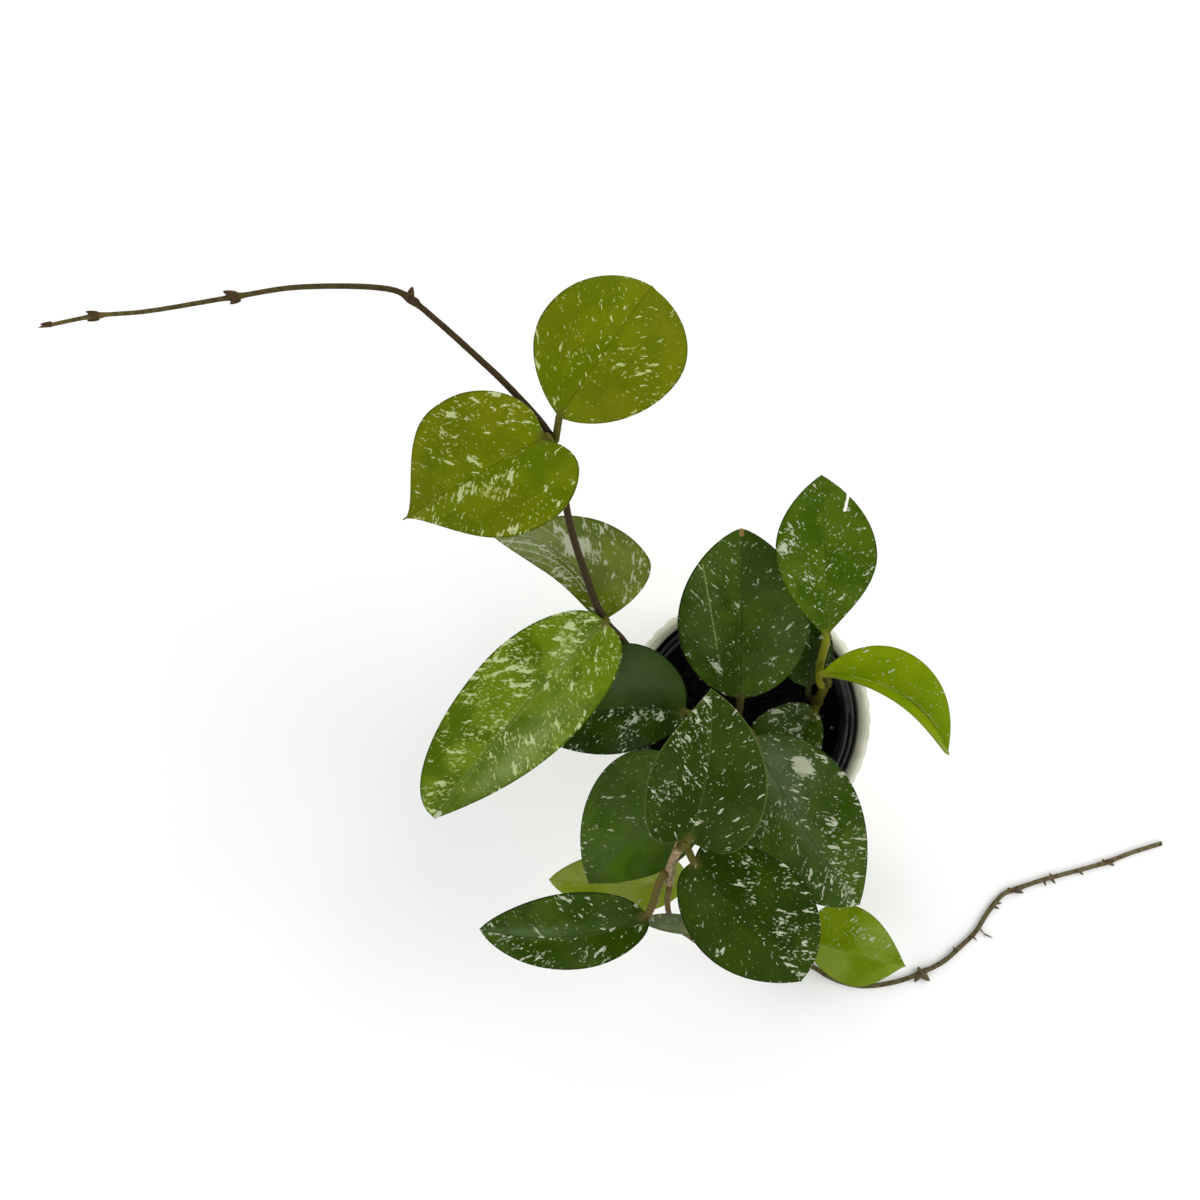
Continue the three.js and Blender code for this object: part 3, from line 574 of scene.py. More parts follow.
# The old stem is thick, pinkish tan and freckled, and ends blunt where it was cut. The thin shoot grows from
# its last joint, drops to the tabletop and trails along it, with rootlets on both sides.
old_points = [
    (0, -13, 74), (-5, -4, 104), (-12, -20, 122), (-20.5, -36, 134), (-26.5, -47.5, 141),
    (-32.4, -56, 142), (-36.1, -63.6, 138.5), (-37.3, -70, 133.5), (-37.5, -76, 129.5),
]
shoot_points = [
    (-37, -74, 130), (-37.5, -80, 124), (-37.5, -87, 106), (-36, -97, 82), (-33.5, -103.5, 68),
    (-27, -112, 50), (-15, -123, 28), (1.5, -131.5, 11), (15, -135, 4), (31.5, -136.5, 1.8),
    (43, -138.3, 1.8), (52, -143.6, 1.8), (60.5, -147, 1.8), (72, -148.8, 1.8), (89.5, -146.2, 1.8),
    (101.5, -141.8, 1.8), (113.5, -135.8, 1.8), (122.5, -128, 1.8), (131, -119.5, 1.8), (136, -111.5, 1.7),
    (141, -104.5, 1.7), (146, -99.5, 1.7), (152.5, -97, 1.7), (167, -92, 1.7), (184, -87.5, 1.6),
    (201.5, -82.5, 1.6), (213, -78, 1.6), (230.5, -72.5, 1.5),
]
old_bark = bark_material(
    "old_bark", [(0.0, (80, 66, 32)), (0.45, (134, 112, 76)), (1.0, (148, 128, 96))],
    (134, 116, 84), (196, 178, 140), 0.16, 900.0)
shoot_bark = bark_material(
    "shoot_bark", [(0.0, (96, 78, 18)), (0.3, (78, 68, 26)), (0.5, (86, 80, 50)), (1.0, (104, 94, 68))],
    (92, 70, 54), (130, 118, 88), 0.03)
old_tube, old_knots = stem(old_points, [1, 2, 5, 7], 2.4, 2.0, 0.7, (1.0, 0.0, 0.9))
shoot_tube, shoot_knots = stem(shoot_points, [5, 9, 15, 22, 25], 1.45, 1.2, 0.3, (1.0, 0.0, 0.9))
rootlets = sprouts([
    ((101.5, -141.8, 2), (106.4, -146.2, 2), 2.1), ((101.5, -141.8, 2), (98, -146.9, 2), 1.7),
    ((101.5, -141.8, 2), (99.8, -138.2, 2.6), 1.6), ((103.5, -140.8, 2), (106.5, -139.2, 2), 1.6),
    ((120, -130.5, 2), (118.5, -127.2, 3), 0.7), ((129, -122, 2), (131.5, -124.6, 2), 0.6),
    ((132.5, -117.5, 1.5), (136, -121.5, 1.2), 0.5), ((135.5, -121, 1.2), (140.5, -123.4, 0.8), 0.42),
    ((140, -106, 2), (143.5, -107.5, 2), 0.9), ((141.5, -104.5, 2), (145, -104.4, 2), 0.8),
    ((152, -97.5, 2), (156.5, -99, 2), 1.4), ((150, -98, 2), (147.5, -96, 3), 1.2),
    ((167, -92, 2), (168.5, -95.4, 2), 0.9), ((171, -91, 2), (173.5, -94.2, 2), 0.9),
    ((171.5, -90.5, 2), (170, -88, 2.6), 0.7), ((186, -87, 1.8), (188.5, -89.5, 1.8), 0.9),
    ((201.5, -82.5, 1.8), (205, -84.5, 2), 1.1), ((200, -83, 1.8), (198.5, -80.6, 2.4), 0.9),
], 0.6, 0.5)
old_stem = stem_piece("old_stem", [old_tube], old_bark)
trailing_shoot = stem_piece("trailing_shoot", [shoot_tube, *rootlets], shoot_bark)
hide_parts("stem_trailing")
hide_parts("stem_trailing")
for grown in (old_stem, trailing_shoot):
    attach(grown, "root")

green_bark = bark_material(
    "green_bark", [(0.0, (56, 50, 20)), (0.6, (66, 64, 18)), (1.0, (92, 92, 16))],
    (76, 76, 24), (120, 118, 60), 0.0)
short_points = [(36, -2, 74), (35, 1, 88), (35, 8.5, 103), (36.8, 14.3, 112), (37.5, 18.5, 120)]
short_tube, short_knots = stem(short_points, [2, 4], 2.2, 2.2, 0.8, (1.0, 0.0, 0.0))
short_stem = stem_piece("short_stem", [short_tube], green_bark)
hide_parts("stem_short")
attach(short_stem, "root")

# ---------------------------------------------------------------- leaves
# Thick waxy blades, stiff as card, each on its own stalk that has grown from a stem's joint. The midrib lies
# in a fine groove above and stands out below, and silver splashes and flecks follow the side veins.
BLADE_MIDDLE = 1.7
BLADE_EDGE = 0.9
RIM_ROUNDING = 0.45
LOBE_SHARE = 0.4
FACE_COLUMNS = 17
FACE_POINTS = 2 * FACE_COLUMNS + 3
RING_POINTS = 2 * FACE_POINTS - 2
STALK_RINGS = 16
STALK_SUNK = 0.6
STALK_FLARE = 0.35
VEIN_SPACING = 6.5
VEIN_HEIGHT = 0.09
SWELL_HEIGHT = 0.6
GROOVE_DEPTH = 0.35
PATTERN_SPAN = 200.0
PATTERN_START = 40.0
FAR_FROM_EDGE = 9.0
SILVER, CREAM, SILVER_FLECK = (172, 178, 152), (174, 184, 130), (158, 166, 138)
BENEATH = (104, 124, 72)
STALK_FRECKLE = (130, 116, 74)
LEAF_GLOSS = 0.04
SPLASH_LIMIT, SPLASH_GAIN = 0.637, 0.082
FLECK_LIMIT, FLECK_GAIN = 0.665, 0.13
SPLASH_DRAWN_OUT, FLECK_DRAWN_OUT = (0.36, 1.0, 1.0), (0.65, 1.0, 1.0)
DIAGONAL = 0.7071
SIDE_SHIFT = 31.0
blade_rows = np.concatenate((
    [0, 0.0015, 0.005, 0.01, 0.018, 0.028], np.linspace(0.042, 0.955, 56), [0.967, 0.978, 0.987, 0.994, 1.0]))


def fullness(half, t):
    """How full a half blade is, from 0 to 1, at a share t of its length: it rises to the widest place as one
    less a square, to the heel's power, and falls to the point as one less a power, to the point's power."""
    widest, heel, point, belly = half[1], half[2], half[3], half[4] if len(half) > 4 else 2.0
    rising = (1 - (1 - np.minimum(t / widest, 1)) ** 2) ** heel
    falling = np.clip(1 - (np.maximum(t - widest, 0) / (1 - widest)) ** belly, 0, 1) ** point
    return np.where(t < widest, rising, falling)


def half_widths(leaf, t):
    """Left and right half widths in mm at shares t, never narrower than the stalk at the heel or a fine
    tip."""
    least = np.interp(t, [0, 0.02, 0.1, 1], [leaf["stalk"], leaf["stalk"], 0.5, 0.35])
    return [np.maximum(leaf[side][0] * fullness(leaf[side], t), least) for side in ("left", "right")]


def blade(leaf, t, v):
    """The blade's middle surface. t runs from heel to point and v from the left edge (1) to the right (-1).
    The midrib is bowed sideways and arched; the edges rise by their lift and wave, and the lobes reach
    back."""
    heel = np.array(leaf["heel"], float)
    run = np.array(leaf["point"], float) - heel
    flat = np.array((run[0], run[1], 0.0)) / np.hypot(run[0], run[1])
    aside = np.array((-flat[1], flat[0], 0.0))
    bulge = 4 * t * (1 - t)
    heading = unit(run * (1, 1, 0) + aside * (4 * leaf["bow"] * (1 - 2 * t))[..., None])
    left = np.stack((-heading[..., 1], heading[..., 0], np.zeros_like(t)), axis=-1)
    width = np.where(v >= 0, *half_widths(leaf, t))
    full = np.where(v >= 0, fullness(leaf["left"], t), fullness(leaf["right"], t))
    lift = np.where(v >= 0, *leaf["lift"])
    rounding = np.sin(np.pi / 2 * np.minimum(1, 1.6 * full))
    lobe = np.where(v >= 0, *leaf["lobe"]) * v ** 2 * np.maximum(0, 1 - t / LOBE_SHARE) ** 2 * rounding
    wave = leaf["wave"] * np.sin(2 * np.pi * (1.5 * t + 0.25 * v)) * v ** 2
    place = heel + run * t[..., None] + aside * (leaf["bow"] * bulge)[..., None]
    place += left * (v * width)[..., None]
    place -= heading * lobe[..., None]
    place[..., 2] += leaf["arch"] * bulge + (lift * np.abs(v) ** leaf["crease"] + wave) * full
    return place


def face_columns(widths):
    """Places across a blade from the left edge to the right, evenly spread but close together at the
    edges."""
    sides = []
    for width in widths:
        close = [np.minimum(gap / width, share) for gap, share in ((0.12, 0.04), (0.4, 0.12))]
        inner = (1 - close[1])[:, None] * np.linspace(1, 0, FACE_COLUMNS)
        sides.append(np.column_stack((np.ones_like(width), 1 - close[0], inner)))
    return np.column_stack((sides[0], -sides[1][:, -2::-1]))


def blade_faces(leaf, t, v, along, beside, margin):
    """The upper and the lower face, half a thickness off the middle surface and rounded together at the
    edge. Both carry soft swells and the side veins' ripples, with a groove along the midrib above and a
    ridge below."""
    nudge = 0.004
    slope = blade(leaf, np.minimum(t + nudge, 1), v) - blade(leaf, np.maximum(t - nudge, 0), v)
    across = blade(leaf, t, np.minimum(v + nudge, 1)) - blade(leaf, t, np.maximum(v - nudge, -1))
    normal = unit(np.cross(slope, across))
    rounding = np.sqrt(np.clip(1 - (1 - np.minimum(margin / RIM_ROUNDING, 1)) ** 2, 0, 1))
    half = rounding * (BLADE_EDGE + (BLADE_MIDDLE - BLADE_EDGE) * (1 - v ** 2)) / 2
    ridge = (leaf["stalk"] - BLADE_MIDDLE / 2) * np.exp(-(beside / 1.5) ** 2)
    veins = VEIN_HEIGHT * np.sin(2 * np.pi * (along - np.abs(beside)) / VEIN_SPACING)
    veins = veins * np.minimum(margin / 6, 1)
    swells = np.sin(along / 11 + leaf["seed"]) * np.sin(beside / 8 + 2 * leaf["seed"])
    swells = SWELL_HEIGHT * swells * np.minimum(margin / 4, 1)
    groove = GROOVE_DEPTH * np.exp(-(beside / 0.8) ** 2) * np.clip(t / 0.06, 0, 1) * (1 - t)
    above = half + swells + veins + ridge * np.exp(-t / 0.03) - groove
    below = half - swells + veins + ridge * (1 - t) ** 1.5
    middle = blade(leaf, t, v)
    return middle, middle + normal * above[..., None], middle - normal * below[..., None]


def stalk_rings(leaf, middle):
    """The leaf stalk: round rings along a cubic curve, which leaves the stem square to it and runs into the
    midrib, and is flared at its foot. Returns the rings and how far past the heel each lies, in mm."""
    place, along_stem, radius = leaf["knot"]
    heel = np.array(leaf["heel"], float)
    away = heel - place
    away = unit(away - (away @ along_stem) * along_stem)
    foot = place + away * (radius - STALK_SUNK)
    reach = np.linalg.norm(heel - foot)
    midrib = unit(middle[8, FACE_COLUMNS + 1] - middle[0, FACE_COLUMNS + 1])
    third = leaf["bend"] * reach / 3
    a, b, c, d = foot, foot + away * third, heel - midrib * third, heel
    u = np.linspace(0, 1, STALK_RINGS + 1)[:-1, None]
    centre = a * (1 - u) ** 3 + 3 * b * u * (1 - u) ** 2 + 3 * c * u ** 2 * (1 - u) + d * u ** 3
    forward = unit(3 * (b - a) * (1 - u) ** 2 + 6 * (c - b) * u * (1 - u) + 3 * (d - c) * u ** 2)
    radii = leaf["stalk"] * (1 + STALK_FLARE * np.exp(-u[:, 0] * reach / 1.5))
    return tube(centre, forward, radii, middle[6, 0] - middle[6, -1], RING_POINTS), (u[:, 0] - 1) * reach


def leaf_mesh(leaf):
    """Rings from the stalk's foot to the blade's point, each over the upper face and back under the lower
    one, with the pattern map and the values that the leaf's skin reads at each point."""
    t = np.repeat(blade_rows[:, None], FACE_POINTS, axis=1)
    v = face_columns(half_widths(leaf, blade_rows))
    width = np.where(v >= 0, *half_widths(leaf, t))
    along = t * np.linalg.norm(np.array(leaf["point"]) - np.array(leaf["heel"]))
    beside, margin = v * width, (1 - np.abs(v)) * width
    middle, upper, lower = blade_faces(leaf, t, v, along, beside, margin)
    stalk, run = stalk_rings(leaf, middle)

    def whole(on_stalk, on_blade, under=None):
        """One value for each point: the stalk's, then the upper face's and the lower face's."""
        beneath = on_blade if under is None else under
        return np.concatenate((on_stalk, np.concatenate((on_blade, beneath[:, -2:0:-1]), axis=1)))

    def clouds(base, rows):
        """A value for each blade point: a base for each half, and soft round patches added to it."""
        value = np.where(v >= 0, *base).astype(float)
        for t0, v0, reach_t, reach_v, amount in rows:
            value += amount * np.exp(-((t - t0) / reach_t) ** 2 - ((v - v0) / reach_v) ** 2)
        return np.maximum(value, 0)

    sway = 4 * np.cos(np.arange(RING_POINTS) * 2 * np.pi / RING_POINTS)
    pattern = np.stack((
        whole(np.repeat(run[:, None], RING_POINTS, axis=1), along) + PATTERN_START,
        whole(np.repeat(sway[None], STALK_RINGS, axis=0), beside) + PATTERN_SPAN / 2,
    ), axis=-1) / PATTERN_SPAN
    none, full = np.zeros((STALK_RINGS, RING_POINTS)), np.ones((STALK_RINGS, RING_POINTS))
    values = {
        "marks": whole(none, clouds(leaf["marks"], leaf["patches"])),
        # The tint's painted sheen: soft clouds where the tint is laid on as painted light.
        "painted_sheen": whole(none, clouds((0, 0), leaf["painted_sheen"])),
        "margin": whole(full * FAR_FROM_EDGE, margin),
        "stalk": whole(full, np.exp(-(along / 3.5) ** 2) * np.exp(-(beside / 2.5) ** 2)),
        "under": whole(none, np.zeros_like(t), np.ones_like(t)),
    }
    return whole(stalk, upper, lower), pattern, values


NUMBER, VECTOR, COLOUR = "NodeSocketFloat", "NodeSocketVector", "NodeSocketColor"


def group(name, inputs, outputs):
    """An empty node group, with a kind of socket under each name. Returns the group, the sockets that it is
    given, and those that it puts out."""
    made = bpy.data.node_groups.new(name, "ShaderNodeTree")
    for side, sockets in (("INPUT", inputs), ("OUTPUT", outputs)):
        for label, kind in sockets.items():
            made.interface.new_socket(label, in_out=side, socket_type=kind)
    return made, made.nodes.new("NodeGroupInput").outputs, made.nodes.new("NodeGroupOutput").inputs


def use(tree, node_group, sockets):
    """The outputs of a node group that is set in a tree, with its inputs set to values or links."""
    return put(tree, "ShaderNodeGroup", sockets, node_tree=node_group).outputs


# Vein coordinates: from the pattern map, the distance in mm along the side veins, which leave the midrib at
# half a right angle, and across them. The two sides of the midrib are shifted apart, so that they don't
# match.
vein_group, given, result = group(
    "vein coordinates", {"Pattern": VECTOR}, {"Place": VECTOR, "Beside": NUMBER, "Across": NUMBER})
tree = vein_group
apart = put(tree, "ShaderNodeSeparateXYZ", {0: given["Pattern"]}).outputs
rib_along = times(tree, apart[0], PATTERN_SPAN)
rib_beside = times(tree, minus(tree, apart[1], 0.5), PATTERN_SPAN)
rib_away = math(tree, "ABSOLUTE", rib_beside)
vein_along = times(tree, plus(tree, rib_along, rib_away), DIAGONAL)
vein_across = times(tree, minus(tree, rib_along, rib_away), DIAGONAL)
shift = times(tree, math(tree, "SIGN", rib_beside), SIDE_SHIFT)
veined = put(tree, "ShaderNodeCombineXYZ", {0: vein_along, 1: vein_across, 2: shift}).outputs[0]
for label, link in (("Place", veined), ("Beside", rib_away), ("Across", vein_across)):
    tree.links.new(link, result[label])

# Silver marks: ragged splashes some millimetres long and flecks under a millimetre, both drawn out along the
# side veins, where air lies under the leaf's skin. They are denser where the leaf's marks value is higher.
marks_group, given, result = group(
    "silver marks", {"Place": VECTOR, "Density": NUMBER, "Seed": NUMBER}, {"Splash": NUMBER, "Fleck": NUMBER})
tree = marks_group
place, density, seed = given["Place"], given["Density"], given["Seed"]
clusters = between(tree, noise(tree, place, 0.07, 2.0, seed), 0.42, 0.60, 0.05, 1.6)
local = plus(tree, times(tree, density, clusters), between(tree, density, 0.6, 1.5, 0.0, 1.2))
broad = noise(tree, vectors(tree, "MULTIPLY", place, SPLASH_DRAWN_OUT), 0.42, 4.0, seed, 0.6)
small = noise(tree, vectors(tree, "MULTIPLY", place, FLECK_DRAWN_OUT), 1.05, 2.0, plus(tree, seed, 40.0))
splash_limit = minus(tree, SPLASH_LIMIT, times(tree, local, SPLASH_GAIN))
fleck_limit = minus(tree, FLECK_LIMIT, times(tree, local, FLECK_GAIN))
splash = between(tree, minus(tree, broad, splash_limit), 0.0, 0.006)
fleck = between(tree, minus(tree, small, fleck_limit), 0.0, 0.02)
shown = math(tree, "GREATER_THAN", density, 0.02)
tree.links.new(times(tree, splash, shown), result["Splash"])
tree.links.new(times(tree, fleck, shown), result["Fleck"])

# Scar: 1 along a straight tear or dry line between two places on the blade, and 0 away from it. The places
# are in mm along the midrib and beside it, and the distance to the line is roughened by a fine noise.
scar_group, given, result = group(
    "scar", {"Pattern": VECTOR, "From": VECTOR, "To": VECTOR, "Width": NUMBER}, {"Scar": NUMBER})
tree = scar_group
spot = vectors(tree, "MULTIPLY", given["Pattern"], (PATTERN_SPAN,) * 3)
spot = vectors(tree, "SUBTRACT", spot, (PATTERN_START, PATTERN_SPAN / 2, 0))
reach = vectors(tree, "SUBTRACT", given["To"], given["From"])
gone = vectors(tree, "SUBTRACT", spot, given["From"])
product = vectors(tree, "DOT_PRODUCT", gone, reach)
square = vectors(tree, "DOT_PRODUCT", reach, reach)
share = math(tree, "DIVIDE", product, square, clamped=True)
nearest = put(tree, "ShaderNodeVectorMath", {0: reach, "Scale": share}, operation="SCALE").outputs[0]
rough = times(tree, minus(tree, noise(tree, spot, 0.7, 3.0), 0.5), 1.6)
past = minus(tree, plus(tree, vectors(tree, "DISTANCE", gone, nearest), rough), given["Width"])
tree.links.new(between(tree, past, -0.2, 0.1, 1.0, 0.0), result["Scar"])

# Leaf green: cloudy green between a deep and a bright tone, with a tint in broad clouds that is partly the
# leaf's own tone and partly painted sheen, and the same tint laid on as painted sheen where the leaf's sheen
# value is high; faint side veins; flanks of painted sheen in the tint beside the midrib; and a midrib line
# and an edge line in the edge colour, painted shade where that colour is darker than the blade and a painted
# highlight where it is paler. The height is for the bump: veins, and the skin's pores.
green_group, given, result = group(
    "leaf green",
    {"Place": VECTOR, "Across": NUMBER, "Beside": NUMBER, "Margin": NUMBER, "Seed": NUMBER, "Deep": COLOUR,
     "Bright": COLOUR, "Tint": COLOUR, "Tinted": NUMBER, "PaintedSheen": NUMBER, "Edge": COLOUR},
    {"Colour": COLOUR, "Height": NUMBER})
tree = green_group
place, seed = given["Place"], given["Seed"]
cloud = between(tree, noise(tree, place, 0.06, 3.0, seed), 0.42, 0.58)
colour = mix(tree, cloud, given["Deep"], given["Bright"])
# Tint clouds: partly the leaf's own tone, such as a bronze tinge, and partly painted sheen.
tinge = between(tree, noise(tree, place, 0.035, 2.0, plus(tree, seed, 9.0)), 0.42, 0.60)
tinge = times(tree, tinge, given["Tinted"])
# Painted sheen: the tint laid on in clouds where the leaf's sheen value is high.
painted_sheen_clouds = between(tree, noise(tree, place, 0.12, 3.0, plus(tree, seed, 5.0)), 0.38, 0.6, 0.55, 1.0)
painted_sheen_clouds = times(tree, painted_sheen_clouds, given["PaintedSheen"])
colour = mix(tree, math(tree, "ADD", tinge, painted_sheen_clouds, clamped=True), colour, given["Tint"])
ripple = math(tree, "SINE", times(tree, given["Across"], 2 * np.pi / VEIN_SPACING * 2 * DIAGONAL))
vein = between(tree, ripple, 0.93, 1.0)
colour = mix(tree, times(tree, vein, 0.10), colour, given["Bright"])
# Flanks of painted sheen beside the midrib; the midrib line and the edge line in the edge colour, painted
# shade where it is darker than the blade and a painted highlight where it is paler.
lines_drawn = [
    ("Beside", 0.4, 2.2, 0.2, "Tint"), ("Beside", 0.1, 0.5, 0.45, "Edge"), ("Margin", 0.2, 1.1, 0.7, "Edge")]
for distance, low, high, strength, tone in lines_drawn:
    line = between(tree, given[distance], low, high, 1.0, 0.0)
    colour = mix(tree, times(tree, line, strength), colour, given[tone])
pores = noise(tree, place, 2.2, 3.0, seed)
tree.links.new(colour, result["Colour"])
tree.links.new(minus(tree, pores, times(tree, vein, 0.5)), result["Height"])


def leaf_material(leaf):
    """The waxy skin of one leaf: leaf green, silver marks over it, a paler underside and a browner stalk."""
    constants = {"Roughness": 0.42, "Specular IOR Level": LEAF_GLOSS}
    material, tree, surface = shader(leaf["name"] + "_skin", constants)
    seed = leaf["seed"]
    pattern = put(tree, "ShaderNodeUVMap", uv_map="pattern").outputs[0]
    veins = use(tree, vein_group, {"Pattern": pattern})
    green = use(tree, green_group, {
        **{label: veins[label] for label in ("Place", "Across", "Beside")},
        **{label: srgb(*leaf[label.lower()]) for label in ("Deep", "Bright", "Tint", "Edge")},
        "Margin": carried(tree, "margin"), "PaintedSheen": carried(tree, "painted_sheen"),
        "Tinted": leaf["tinted"], "Seed": seed})
    marks = use(tree, marks_group, {"Place": veins["Place"], "Density": carried(tree, "marks"), "Seed": seed})
    colour = mix(tree, times(tree, marks["Fleck"], 0.8), green["Colour"], leaf["fleck"])
    colour = mix(tree, times(tree, marks["Splash"], 0.95), colour, leaf["splash"])
    # Scars: tears and dry lines, and on two leaves pale lines of painted sheen and painted highlight.
    for start, end, width, tone, strength in leaf["scars"]:
        sockets = {"Pattern": pattern, "From": (*start, 0), "To": (*end, 0), "Width": width}
        scar = use(tree, scar_group, sockets)["Scar"]
        colour = mix(tree, times(tree, scar, strength), colour, tone)
    colour = mix(tree, times(tree, carried(tree, "under"), 0.6), colour, BENEATH)
    freckles = between(tree, noise(tree, veins["Place"], 2.0, 3.0, seed), 0.49, 0.6, 0.0, leaf["freckled"])
    stalk_colour = mix(tree, freckles, leaf["stalk_colour"], STALK_FRECKLE)
    colour = mix(tree, carried(tree, "stalk"), colour, stalk_colour)
    tree.links.new(colour, surface.inputs["Base Color"])
    wax = between(tree, noise(tree, veins["Place"], 0.15, 3.0, seed + 3.0), 0.3, 0.7, 0.34, 0.5)
    tree.links.new(wax, surface.inputs["Roughness"])
    bump(tree, surface, plus(tree, green["Height"], marks["Splash"]), 0.00025, 0.5)
    return material


def leaf_piece(leaf):
    """One leaf as a finished piece, with its pattern map and its own skin."""
    rings, pattern, values = leaf_mesh(leaf)
    made = surface_piece(leaf["name"], rings, wrapped(*rings.shape[:2]), leaf_material(leaf), values)
    corner = np.zeros(len(made.data.loops), np.int32)
    made.data.loops.foreach_get("vertex_index", corner)
    places = pattern.reshape(-1, 2)[corner].astype(np.float32)
    made.data.uv_layers.new(name="pattern").data.foreach_set("uv", places.ravel())
    return made


# Each leaf's row: its piece, node, slot, joint and seed of random patterns. Then in mm the blade's heel and
# point, how far its midrib bows aside and arches, how far each edge lifts (the left one first) and waves,
# how far each lobe reaches back, and the stalk's radius. The crease is the lift's power across the blade,
# and the bend is how wide the stalk swings. Each half is its width, the share of the length at which it is
# widest, and the powers at the heel, at the point and, where it isn't 2, of the belly. Marks are the
# density of silver on each half. Patches, and the painted sheen where the tint is laid on as painted light,
# are soft clouds: middle and reach in shares of the blade's length and half width, and amount. Scars are
# lines: two ends and a width in mm, a colour and a strength; on two leaves they are painted sheen and a
# painted highlight. The edge colour is painted shade where it is darker than the blade and a painted
# highlight where it is paler.
plain_leaf = dict(
    lobe=(0, 0), wave=0.0, crease=1.3, bend=1.0, stalk=1.8, deep=(30, 52, 0), bright=(46, 68, 10),
    tint=(66, 84, 50), tinted=0.3, edge=(18, 32, 2), splash=SILVER, fleck=SILVER_FLECK,
    stalk_colour=(70, 70, 12), freckled=0.4, patches=[], painted_sheen=[], scars=[])
